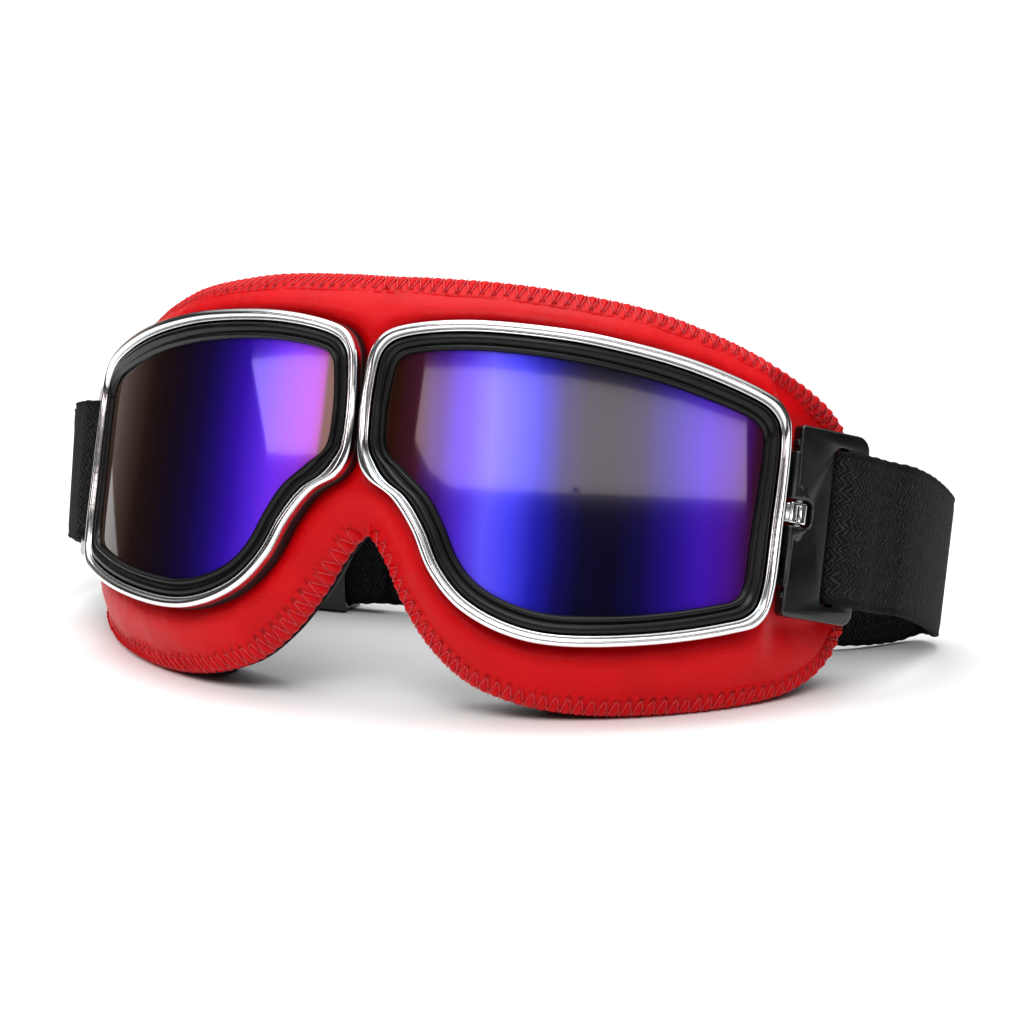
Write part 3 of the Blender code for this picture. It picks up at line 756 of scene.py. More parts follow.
def turned_object(name: str, profile: list[tuple[float, float]], frame_at: Matrix,
                  material: bpy.types.Material, sides: int = 40) -> bpy.types.Object:
    """Round piece turned about the local third axis.

    Args:
        name: name of the piece.
        profile: radius and height pairs in mm, bottom to top, radius zero at both ends.
        frame_at: local frame in the goggles' frame.
        material: finish of the piece.
        sides: facets round the axis.

    Returns:
        The new object.
    """
    verts = []
    for radius, height in profile:
        for k in range(sides):
            a = 2 * math.pi * k / sides
            local = Vector((radius * math.cos(a), radius * math.sin(a), height)) * MM
            verts.append(frame_at @ local)
    faces = grid_faces(len(profile), sides, Spread.OPEN, Spread.CLOSED)
    return mesh_object(name, np.array([tuple(v) for v in verts]), faces, material, 50.0, 1e-6)


def ride(piece: bpy.types.Object, body: str, nodes: tuple[str, ...] = ()) -> None:
    """Fix a finished piece to its body and the frame nodes it stands for."""
    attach(piece, body)
    if nodes:
        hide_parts(*nodes)
    LOG.info("%s rides on %s", piece.name, body)


# ------------------------------------------------------------------ the wrap of the panels

@dataclass
class Wrap:
    """Leaning cylinder on which both eye panels lie; s runs round it, v up it, n off it."""

    radius: float = 109.0
    heading: float = math.radians(1.2)
    lean: float = math.radians(15.3)
    lean_in: float = -0.038
    nose_x: float = 1.5
    front: float = -55.68
    floor: float = 17.0

    def points(self, s: np.ndarray, v: np.ndarray, n: np.ndarray, side: Side = Side.LEFT) -> np.ndarray:
        """Find points on a panel.

        Args:
            s: distances round the wrap from the nose, in mm.
            v: heights up the lean, in mm.
            n: heights off the panel, in mm.
            side: which eye.

        Returns:
            Points in metres, with one more axis than the arguments.
        """
        s, v, n = np.broadcast_arrays(np.asarray(s, float), np.asarray(v, float), np.asarray(n, float))
        turn = self.heading + s / self.radius
        x = self.nose_x + self.radius * (np.sin(turn) - math.sin(self.heading))
        y = self.radius * (math.cos(self.heading) - np.cos(turn))
        x = x + v * self.lean_in + n * np.sin(turn)
        y = y + v * math.sin(self.lean) - n * np.cos(turn) * math.cos(self.lean)
        z = v * math.cos(self.lean) + n * math.sin(self.lean)
        return np.stack([x * side.value, y + self.front, z + self.floor], axis=-1) * MM

    def normals(self, s: np.ndarray, v: np.ndarray, side: Side = Side.LEFT) -> np.ndarray:
        """Outward unit normals of the lens front at flat points of a panel."""
        spot = self.points(s, v, LENS_FACES[0], side)
        ds = self.points(s + 0.05, v, LENS_FACES[0], side) - spot
        dv = self.points(s, v + 0.05, LENS_FACES[0], side) - spot
        return unit(np.cross(ds, dv) * side.value)

    def settle(self) -> None:
        """Shift the wrap so that it lies exactly on the frame's own lens."""
        low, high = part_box("lens_left")
        ring = PANEL.flat(PANEL.angles(240), 0.88)
        both = np.concatenate([self.points(ring[:, 0], ring[:, 1], n) for n in LENS_FACES])
        self.front += ((low.y + high.y) / 2 - (both[:, 1].min() + both[:, 1].max()) / 2) / MM
        self.floor += ((low.z + high.z) / 2 - (both[:, 2].min() + both[:, 2].max()) / 2) / MM


class Outline:
    """Closed outline read as a radius about the middle of the panel."""

    CENTRE = np.array([46.0, 32.0])

    def __init__(self, path: np.ndarray) -> None:
        """Keep the path and its radius at each angle."""
        self.path = path
        rel = path - self.CENTRE
        angle = np.unwrap(np.arctan2(rel[:, 1], rel[:, 0]))
        radius = np.hypot(rel[:, 0], rel[:, 1])
        if angle[-1] < angle[0]:
            angle, radius = angle[::-1], radius[::-1]
        turn = 2 * math.pi
        self.angle = np.concatenate([angle - turn, angle, angle + turn])
        self.radius = np.concatenate([radius, radius, radius])

    def at(self, angles: np.ndarray) -> np.ndarray:
        """Flat points of the outline at the given angles."""
        r = np.interp(angles, self.angle, self.radius)
        return self.CENTRE + np.stack([r * np.cos(angles), r * np.sin(angles)], axis=-1)


class Panel:
    """Flat outlines of one eye: rim, visible glass and the edge of the padded mask."""

    RIM = [(1.0, 37.0), (0.7, 44.0), (1.3, 53.0), (2.8, 60.2), (8.0, 64.3), (22.5, 66.0),
           (40.8, 64.5), (55.1, 61.5), (70.1, 56.8), (85.1, 49.9), (90.4, 45.2), (91.7, 38.5),
           (90.8, 23.1), (89.5, 8.5), (86.7, 2.4), (80.0, 0.9), (62.9, 0.0), (44.6, 0.4),
           (33.3, 2.8), (23.7, 7.9), (17.3, 15.0), (13.3, 23.1), (8.6, 29.4), (3.2, 33.0)]
    GLASS = [(6.4, 45.8), (7.2, 53.6), (8.6, 57.6), (13.2, 59.2), (24.0, 59.8), (37.2, 58.7),
             (49.9, 56.4), (63.0, 52.7), (76.3, 47.5), (82.8, 44.3), (85.4, 41.2), (85.6, 36.5),
             (84.0, 22.6), (83.0, 11.8), (81.2, 8.0), (75.8, 7.1), (61.8, 6.3), (49.4, 6.4),
             (41.5, 7.1), (34.0, 9.3), (27.6, 12.8), (23.2, 17.6), (19.9, 24.3), (16.3, 30.2),
             (11.0, 35.1), (7.0, 38.9)]
    EDGE = [(1.75, 75.7), (12.0, 75.7), (27.0, 75.0), (41.0, 73.3), (60.0, 69.5), (76.0, 64.0),
            (90.5, 57.5), (105.0, 49.3), (114.5, 41.5), (120.0, 31.0), (121.8, 18.0),
            (121.0, 4.0), (115.5, -7.0), (105.5, -12.6), (89.0, -14.4), (62.0, -14.2),
            (45.0, -12.7), (33.0, -10.0), (23.5, -6.0), (15.0, 1.0), (8.5, 9.5),
            (4.5, 16.5), (-0.5, 21.8)]
    SEAT = -4.5
    EDGE_DROP = -10.0
    CROWN = 2.3
    TEMPLE_DIP = 3.0

    def __init__(self) -> None:
        """Round the outlines off."""
        self.rim = Outline(smooth_path(self.RIM, True))
        self.glass = Outline(smooth_path(self.GLASS, True))
        self.edge = smooth_path(self.EDGE, False, mirror_ends=True)
        middle = np.linspace(self.EDGE[-1], self.EDGE[0], 24)[1:-1]
        self.mask = Outline(np.concatenate([self.edge, middle]))
        top, arch = np.array(self.EDGE[0]) - Outline.CENTRE, np.array(self.EDGE[-1]) - Outline.CENTRE
        self.plane_from = math.atan2(top[1], top[0]) % (2 * math.pi)
        self.plane_to = math.atan2(arch[1], arch[0]) % (2 * math.pi)
        self.rim_loop = np.vstack([self.rim.path, self.rim.path[:1]])

    def angles(self, count: int, with_plane: bool = False) -> np.ndarray:
        """Angles of stations spread evenly round the rim.

        Args:
            count: how many stations.
            with_plane: whether the two ends of the middle line get stations of their own.

        Returns:
            Rising angles in radians.
        """
        even, _ = resample(self.rim_loop, 1.0)
        rel = even - Outline.CENTRE
        every = np.sort(np.arctan2(rel[:, 1], rel[:, 0]) % (2 * math.pi))
        picked = np.interp(np.linspace(0, len(every), count, endpoint=False), np.arange(len(every)), every)
        if with_plane:
            ends = np.array([self.plane_from, self.plane_to])
            near = np.min(np.abs(picked[:, None] - ends[None]), axis=1) > math.radians(0.35)
            picked = np.sort(np.concatenate([picked[near], ends]))
        return picked

    def flat(self, angles: np.ndarray, b: float) -> np.ndarray:
        """Flat points of the band: 1 at the glass, 0 at the rim, -1 at the mask's edge."""
        rim = self.rim.at(angles)
        goal = self.glass.at(angles) if b >= 0 else self.mask.at(angles)
        return rim + (goal - rim) * abs(b)

    def on_plane(self, angles: np.ndarray) -> np.ndarray:
        """True for stations whose outer end lies on the middle plane."""
        return (angles > self.plane_from - 1e-6) & (angles < self.plane_to + 1e-6)

    def leather_height(self, points: np.ndarray) -> np.ndarray:
        """Height of the leather: pinched at the rim, crowned between, low at the sewn edge."""
        to_rim = distances(self.rim_loop, points)
        rel = points - Outline.CENTRE
        angle = np.arctan2(rel[:, 1], rel[:, 0]) % (2 * math.pi)
        inside = np.hypot(*rel.T) < np.hypot(*(self.rim.at(angle) - Outline.CENTRE).T) + 1e-6
        to_rim = np.where(inside, 0.0, to_rim)
        to_edge = distances(self.edge, points)
        u = to_edge / (to_edge + to_rim + 1e-6)
        crown = self.CROWN * 4 * u * (1 - u) * np.minimum(1.0, (to_edge + to_rim) / 12.0)
        dip = self.TEMPLE_DIP * np.clip((points[:, 0] - 89.5) / 5.0, 0, 1) * np.clip(u * 4.0, 0, 1)
        dip = dip * np.clip((points[:, 1] + 7.0) / 8.0, 0, 1)
        return self.EDGE_DROP + (self.SEAT - self.EDGE_DROP) * ease(u) + crown - dip


PANEL = Panel()
WRAP = Wrap()
LENS_FACES = (-0.7, -2.1)


# ------------------------------------------------------------------ padded mask

@dataclass
class PaddedMask:
    """Faux-leather front, overlocked edge, foam cushion and lining, all one width for both eyes."""

    shop: Workshop
    stations: int = 330
    stitch_mm: float = 2.75
    bite_mm: float = 3.0
    thread_mm: float = 0.21
    leather_rows: list = field(default_factory=lambda: [0.12, 0.0, -0.02, -0.05, -0.09, -0.14, -0.2,
                                                       -0.27, -0.35, -0.43, -0.51, -0.59, -0.66,
                                                       -0.73, -0.79, -0.85, -0.9, -0.94])

    def wrinkles(self, flat: np.ndarray, heights: np.ndarray) -> np.ndarray:
        """Creases that the padding pushes into the leather.

        Args:
            flat: flat points of the leather.
            heights: smooth heights of the same points.

        Returns:
            Heights with long soft swells and short puckers by the rim and the seam.
        """
        to_rim = distances(PANEL.rim_loop, flat)
        to_edge = distances(PANEL.edge, flat)
        spread = np.column_stack([flat * MM, np.zeros(len(flat))])
        swell = fractal(spread, 70.0, 2) * 0.22
        pucker = fractal(spread * np.array([1.0, 0.55, 1.0]), 330.0, 3)
        near_rim = np.exp(-to_rim / 3.0) * np.clip(to_rim / 0.8, 0, 1)
        near_seam = np.exp(-np.abs(to_edge - 4.2) / 1.8)
        calm = np.clip((to_rim + to_edge) / 8.0, 0, 1)
        return heights + calm * (swell + pucker * (0.16 * near_rim + 0.14 * near_seam + 0.03))

    def leather(self) -> bpy.types.Object:
        """Front skin from under the rims out to the sewn edge."""
        angles = PANEL.angles(self.stations, True)
        plane = PANEL.on_plane(angles)
        rows = []
        for back in (0.0, 1.1):
            layer = []
            for b in self.leather_rows:
                outer = b == self.leather_rows[-1]
                flat = PANEL.flat(angles, b)
                if outer:
                    flat = np.where(plane[:, None], PANEL.flat(angles, -1.0), flat)
                heights = self.wrinkles(flat, PANEL.leather_height(flat)) - back
                points = WRAP.points(flat[:, 0], flat[:, 1], heights)
                if outer:
                    points[plane, 0] = 0.0
                layer.append(points)
            rows += layer if back == 0.0 else layer[::-1]
        piece = mirrored_grid("mask_leather", np.array(rows), self.shop.leather, Spread.CLOSED)
        ride(piece, MASK_BODY, ("mask_skin",))
        return piece

    def edge_stations(self, step: float) -> tuple[np.ndarray, np.ndarray, np.ndarray]:
        """Even stations along the free edge.

        Args:
            step: spacing in mm.

        Returns:
            Flat points, unit directions into the mask, and distances along the edge.
        """
        points, at = resample(PANEL.edge, step)
        tangent = np.gradient(points, axis=0)
        tangent[0], tangent[-1] = (1.0, 0.0), (-1.0, 0.0)
        tangent = unit(tangent)
        inward = np.stack([tangent[:, 1], -tangent[:, 0]], axis=1)
        if np.sum((Outline.CENTRE - points) * inward) < 0:
            inward = -inward
        inward[0], inward[-1] = (0.0, -1.0), (0.0, 1.0)
        return points, inward, at

    def stitch_share(self, along: np.ndarray) -> np.ndarray:
        """1 where the zigzag bites deepest into the mask, 0 where it rounds the edge."""
        phase = (along / self.stitch_mm) % 1.0
        return np.abs(phase - 0.5) * 2.0

    def bead_height(self, along: np.ndarray, inward: np.ndarray) -> np.ndarray:
        """Height of the sewn edge over the leather beneath it.

        Args:
            along: distance along the edge, in mm.
            inward: distance into the mask, in mm.

        Returns:
            Heights in mm: teeth under the thread, valleys between, needle holes at the points.
        """
        q = self.stitch_share(along)
        line = self.bite_mm * q
        gap = (line - inward) * 0.42
        tooth = 0.62 / (1.0 + np.exp(-gap / 0.14))
        groove = 0.36 * np.exp(-(gap / 0.2) ** 2)
        hole = 0.7 * np.exp(-(((inward - self.bite_mm - 0.1) / 0.45) ** 2 + ((1 - q) / 0.35) ** 2))
        lumps = 0.10 * np.sin(along * 1.37) * np.sin(along * 0.53 + 1.0)
        lumps = lumps + 0.5 * (q ** 0.8 - 0.5) * np.clip(3.4 - inward, 0, 1)
        fade = np.clip((self.bite_mm + 1.2 - inward) / 0.8, 0, 1)
        return (0.34 + tooth - groove - hole + lumps) * fade - 0.12 * (1 - fade)

    def edging(self) -> bpy.types.Object:
        """Overlocked edge: leather rolled over the foam and whipped with thread."""
        points, inward, along = self.edge_stations(0.26)
        over = [(4.4, 0.0), (3.9, 0.0), (3.5, 0.0), (3.15, 0.0), (2.85, 0.0), (2.5, 0.0), (2.1, 0.0),
                (1.7, 0.0), (1.3, 0.0), (0.9, 0.0), (0.55, -0.02), (0.25, -0.12), (0.02, -0.4),
                (-0.12, -0.8), (-0.1, -1.25), (0.1, -1.6), (0.5, -1.85), (1.2, -2.0), (2.4, -2.0),
                (3.6, -1.7), (4.4, -1.2)]
        rows, painted_stitch_shades = [], []
        for k, (depth, drop) in enumerate(over):
            pulse = -0.34 * (self.stitch_share(along) ** 0.8 - 0.5) * (1.0 if 8 < k < 18 else 0.0)
            flat = points + inward * (depth + pulse)[:, None]
            base = PANEL.leather_height(flat if depth > 0 else points)
            if k <= 12:
                lift = self.bead_height(along, np.full(len(along), max(depth, 0.0)))
                lift = lift * (1.0 if depth > 0.3 else 0.6)
                sunk = -0.5 if depth > 4.2 else 0.0
            else:
                lift, sunk = np.zeros(len(along)), 0.0
            heights = base + lift + drop + sunk
            q = self.stitch_share(along)
            # share of painted shade: darkest in the needle holes and in the grooves beside the thread
            hole = np.exp(-(((depth - self.bite_mm - 0.1) / 0.5) ** 2 + ((1 - q) / 0.4) ** 2))
            groove = np.exp(-(((self.bite_mm * q - depth) * 0.42) / 0.16) ** 2)
            painted_stitch_shades.append(np.clip(0.9 * hole + 0.5 * groove, 0, 1) if 0.3 < depth < 4.2 else 0.0 * q)
            row = WRAP.points(flat[:, 0], flat[:, 1], heights)
            row[0, 0] = row[-1, 0] = 0.0
            rows.append(row)
        grid = np.array(rows).transpose(1, 0, 2)
        piece = mirrored_strip("mask_edging", grid, self.shop.leather, np.array(painted_stitch_shades).T)
        ride(piece, MASK_BODY)
        return piece

    def stitches(self) -> bpy.types.Object:
        """Zigzag overlock thread whipping the edge all the way round."""
        points, inward, along = self.edge_stations(0.1)
        count = int(along[-1] / self.stitch_mm)
        curve = bpy.data.curves.new("edge_thread", "CURVE")
        curve.dimensions = "3D"
        curve.bevel_depth = self.thread_mm * MM
        curve.bevel_resolution = 2
        curve.use_fill_caps = True
        # one stitch: share of its length, and how deep into the mask the thread lies there
        zigzag = ((0.0, 3.15), (0.1, 2.5), (0.22, 1.75), (0.34, 1.0), (0.43, 0.35),
                  (0.5, -0.2), (0.57, 0.35), (0.66, 1.0), (0.78, 1.75), (0.9, 2.5))
        for side in Side:
            route = []
            for k in range(count):
                for t, depth in zigzag:
                    spot = (k + t) * self.stitch_mm
                    base = np.array([np.interp(spot, along, points[:, i]) for i in (0, 1)])
                    way = np.array([np.interp(spot, along, inward[:, i]) for i in (0, 1)])
                    flat = base + way * depth
                    lift = float(self.bead_height(np.array([spot]), np.array([max(depth, 0.0)]))[0])
                    sink = {3.15: -0.25, -0.2: -0.75}.get(depth, 0.16)
                    height = float(PANEL.leather_height(flat[None])[0]) + lift + sink
                    route.append(WRAP.points(flat[0], flat[1], height, side))
            spline = curve.splines.new("POLY")
            spline.points.add(len(route) - 1)
            for target, at in zip(spline.points, route):
                target.co = (*at, 1.0)
        piece = link(bpy.data.objects.new("edge_thread", curve))
        curve.materials.append(self.shop.thread)
        ride(piece, MASK_BODY)
        return piece

    def cushion(self) -> bpy.types.Object:
        """Foam ring behind the leather, rounded where it meets the face."""
        angles = PANEL.angles(240, True)
        plane = PANEL.on_plane(angles)
        section = [(0.62, -9.4), (0.4, -9.4), (-0.1, -9.4), (-0.5, None), (-0.75, None), (-0.88, None),
                   (-0.95, None), (-0.975, -13.2), (-0.985, -15.0), (-0.985, -17.0), (-0.975, -19.0),
                   (-0.955, -20.8), (-0.92, -22.2), (-0.86, -23.1), (-0.78, -23.6), (-0.6, -23.9),
                   (-0.3, -24.0), (-0.05, -24.0), (0.2, -23.9), (0.38, -23.5), (0.5, -22.9),
                   (0.58, -22.0), (0.62, -20.8), (0.62, -17.0), (0.62, -13.0)]
        rows = []
        for b, height in section:
            flat = PANEL.flat(angles, b)
            meets = plane & (-1.0 <= b <= -0.5)
            flat = np.where(meets[:, None], PANEL.flat(angles, -1.0), flat)
            under = np.minimum(-9.4, PANEL.leather_height(flat) - 2.1)
            heights = under if height is None else np.full(len(angles), height)
            if height is not None and b < -0.3:
                heights = self.thinned(flat, b, heights)
            heights = heights + fractal(np.column_stack([flat * MM, heights * MM]), 60.0, 2) * 0.15
            points = WRAP.points(flat[:, 0], flat[:, 1], heights)
            points[:, 2] = np.maximum(points[:, 2], 0.0)
            if -1.0 <= b <= -0.5:
                points[meets, 0] = 0.0
            rows.append(points)
        piece = mirrored_grid("face_cushion", np.array(rows), self.shop.foam, Spread.CLOSED)
        ride(piece, MASK_BODY, ("face_foam",))
        return piece

    def thinned(self, flat: np.ndarray, b: float, heights: np.ndarray) -> np.ndarray:
        """Thin the cushion towards its sewn edge beside the nose arch.

        Args:
            flat: flat points of the cushion.
            b: band share of those points.
            heights: full-depth heights.

        Returns:
            Heights that rise towards the leather where the arch is near.
        """
        near = np.clip((48.0 - flat[:, 0]) / 12.0, 0, 1)
        low = np.clip((36.0 - flat[:, 1]) / 8.0, 0, 1)
        share = ease(near) * ease(low)
        goal = np.interp(-b, [0.3, 0.6, 0.85, 0.97], [-23.5, -18.5, -14.6, -12.4])
        goal = np.maximum(heights, np.where(heights > -14.0, heights, goal))
        return heights + (goal - heights) * share

    def lining_panel(self) -> bpy.types.Object:
        """Tricot panel sewn over the cushion where it touches the face."""
        angles = PANEL.angles(240, True)
        plane = PANEL.on_plane(angles)
        front = [(0.42, -23.8), (0.3, -24.3), (0.1, -24.6), (-0.1, -24.75), (-0.3, -24.8), (-0.5, -24.6),
                 (-0.62, -24.2)]
        rows = []
        for b, height in front + [(b, h + 0.9) for b, h in front[::-1]]:
            flat = PANEL.flat(angles, b)
            meets = plane & (b <= -0.6)
            flat = np.where(meets[:, None], PANEL.flat(angles, -1.0), flat)
            heights = self.thinned(flat, b, np.full(len(angles), height)) if b < -0.3 else height
            points = WRAP.points(flat[:, 0], flat[:, 1], heights)
            points[:, 2] = np.maximum(points[:, 2], 0.4 * MM)
            points[meets, 0] = 0.0
            rows.append(points)
        piece = mirrored_grid("face_lining", np.array(rows), self.shop.lining, Spread.CLOSED)
        ride(piece, MASK_BODY, ("lining",))
        return piece

    def build(self) -> None:
        """Make every layer of the mask."""
        self.leather()
        self.edging()
        self.stitches()
        self.cushion()
        self.lining_panel()


def mirrored_strip(name: str, grid: np.ndarray, material: bpy.types.Material,
                   painted_stitch_shade: np.ndarray) -> bpy.types.Object:
    """Closed tube along half the edge, joined to its mirror image at both ends.

    Args:
        name: name of the piece.
        grid: stations by section points by three, first and last stations on the middle plane.
        material: finish of the piece.
        painted_stitch_shade: how much painted shade each point takes, most in the needle holes and grooves,
            0 to 1, stations by section points.

    Returns:
        The new object.
    """
    rows, cols = grid.shape[:2]
    flat = grid.reshape(-1, 3)
    faces = grid_faces(rows, cols, Spread.OPEN, Spread.CLOSED)
    faces += [f[::-1] for f in grid_faces(rows, cols, Spread.OPEN, Spread.CLOSED, rows * cols)]
    verts = np.concatenate([flat, flat * np.array([-1.0, 1.0, 1.0])])
    values = np.zeros((len(verts), 3))
    values[:, 0] = np.tile(painted_stitch_shade.ravel(), 2)
    return mesh_object(name, verts, faces, material, weld=2e-6, marks=("painted_stitch_shade", values))


# ------------------------------------------------------------------ eye pieces

@dataclass
class EyePiece:
    """Chrome rim, rubber gasket, mirror lens and the shell that clamps them to the mask."""

    side: Side
    shop: Workshop
    stations: int = 420

    def ring(self, name: str, section: list[tuple[float, float]],
             material: bpy.types.Material) -> bpy.types.Object:
        """Closed band carried round the eye.

        Args:
            name: name of the piece.
            section: band share and height of each point of the closed section.
            material: finish of the band.

        Returns:
            The new object.
        """
        angles = PANEL.angles(self.stations)
        rows = []
        for b, n in section:
            flat = PANEL.flat(angles, b)
            rows.append(WRAP.points(flat[:, 0], flat[:, 1], n, self.side))
        grid = np.array(rows)
        faces = grid_faces(len(rows), len(angles), Spread.CLOSED, Spread.CLOSED)
        return mesh_object(name, grid.reshape(-1, 3), faces, material, 50.0)

    def arc(self, b0: float, b1: float, low: float, rise: float, steps: int = 8) -> list:
        """Flattened half-round crest of a section between two band shares."""
        out = []
        for k in range(steps + 1):
            a = math.pi * k / steps
            crest = max(0.0, math.sin(a)) ** 0.62
            out.append(((b0 + b1) / 2 - (b1 - b0) / 2 * math.cos(a), low + rise * crest))
        return out

    def rim(self) -> None:
        """Chrome section: a broad half-round with a fine bead inside it."""
        section = [(0.0, -1.1)] + self.arc(0.0, 0.30, 0.1, 1.2, 12)
        section += [(0.305, -0.15)] + self.arc(0.31, 0.375, 0.1, 0.42, 6) + [(0.375, -1.1)]
        piece = self.ring(f"rim_{self.side.word}", section, self.shop.chrome)
        ride(piece, MASK_BODY, (f"chrome_rim_{self.side.word}",))

    def gasket(self) -> None:
        """Rubber seal with an outer roll, a groove and a lip on the glass."""
        section = [(0.41, -2.9), (0.41, -0.4), (0.42, -0.05), (0.45, 0.3), (0.5, 0.52), (0.57, 0.6),
                   (0.64, 0.52), (0.7, 0.3), (0.74, 0.05), (0.765, -0.05), (0.79, 0.08),
                   (0.825, 0.38), (0.87, 0.52), (0.915, 0.46), (0.955, 0.22), (0.985, -0.1),
                   (1.0, -0.45), (0.84, -0.45), (0.84, -2.9)]
        piece = self.ring(f"gasket_{self.side.word}_seal", section, self.shop.rubber)
        ride(piece, MASK_BODY, (f"gasket_{self.side.word}",))

    def shell(self) -> None:
        """Black moulding whose flange shows as a dark line between rim and leather."""
        section = [(0.17, -6.3), (0.17, -4.2), (0.02, -4.2), (0.0, -4.1), (0.0, -1.5), (0.02, -1.4),
                   (0.39, -1.4), (0.39, -3.2), (0.93, -3.2), (0.93, -12.5), (0.74, -12.5), (0.74, -6.3)]
        piece = self.ring(f"shell_{self.side.word}", section, self.shop.shell)
        ride(piece, MASK_BODY, (f"frame_shell_{self.side.word}",))

    def lens(self) -> None:
        """Curved mirror lens, one even sheet right up under the gasket's lip."""
        angles = PANEL.angles(260)
        edge = PANEL.flat(angles, 0.88)
        shares = np.linspace(0.0, 1.0, 30)[1:]
        flats = [Outline.CENTRE + (edge - Outline.CENTRE) * k for k in shares]
        layers = [(flats, LENS_FACES[0]), (flats[::-1], LENS_FACES[1])]
        verts, marks = [], []
        for group, n in layers:
            for flat in group:
                verts.append(WRAP.points(flat[:, 0], flat[:, 1], n, self.side))
                marks.append(np.column_stack([flat, np.full(len(flat), n)]))
        rows = len(verts)
        points = np.concatenate(verts)
        hubs = [WRAP.points(*Outline.CENTRE, n, self.side) for n in LENS_FACES]
        faces = grid_faces(rows, len(angles), Spread.OPEN, Spread.CLOSED)
        first = len(points)
        for hub, row in ((first, 0), (first + 1, rows - 1)):
            for c in range(len(angles)):
                faces.append((hub, row * len(angles) + c, row * len(angles) + (c + 1) % len(angles)))
        allpoints = np.vstack([points, hubs])
        piece = mesh_object(f"mirror_lens_{self.side.word}", allpoints, faces,
                            self.shop.lens[self.side], 50.0, 0.0)
        wrap = np.vstack([np.concatenate(marks), [[*Outline.CENTRE, n] for n in LENS_FACES]])
        set_attribute(piece, "wrap_mm", wrap)
        off = WRAP.normals(wrap[:, 0], wrap[:, 1], self.side)
        off[np.isclose(wrap[:, 2], LENS_FACES[1])] *= -1.0
        piece.data.normals_split_custom_set_from_vertices([tuple(v) for v in off])
        ride(piece, MASK_BODY, (f"lens_{self.side.word}",))

    def build(self) -> None:
        """Make the four bands of the eye."""
        self.rim()
        self.gasket()
        self.shell()
        self.lens()


# ------------------------------------------------------------------ hinged buckle

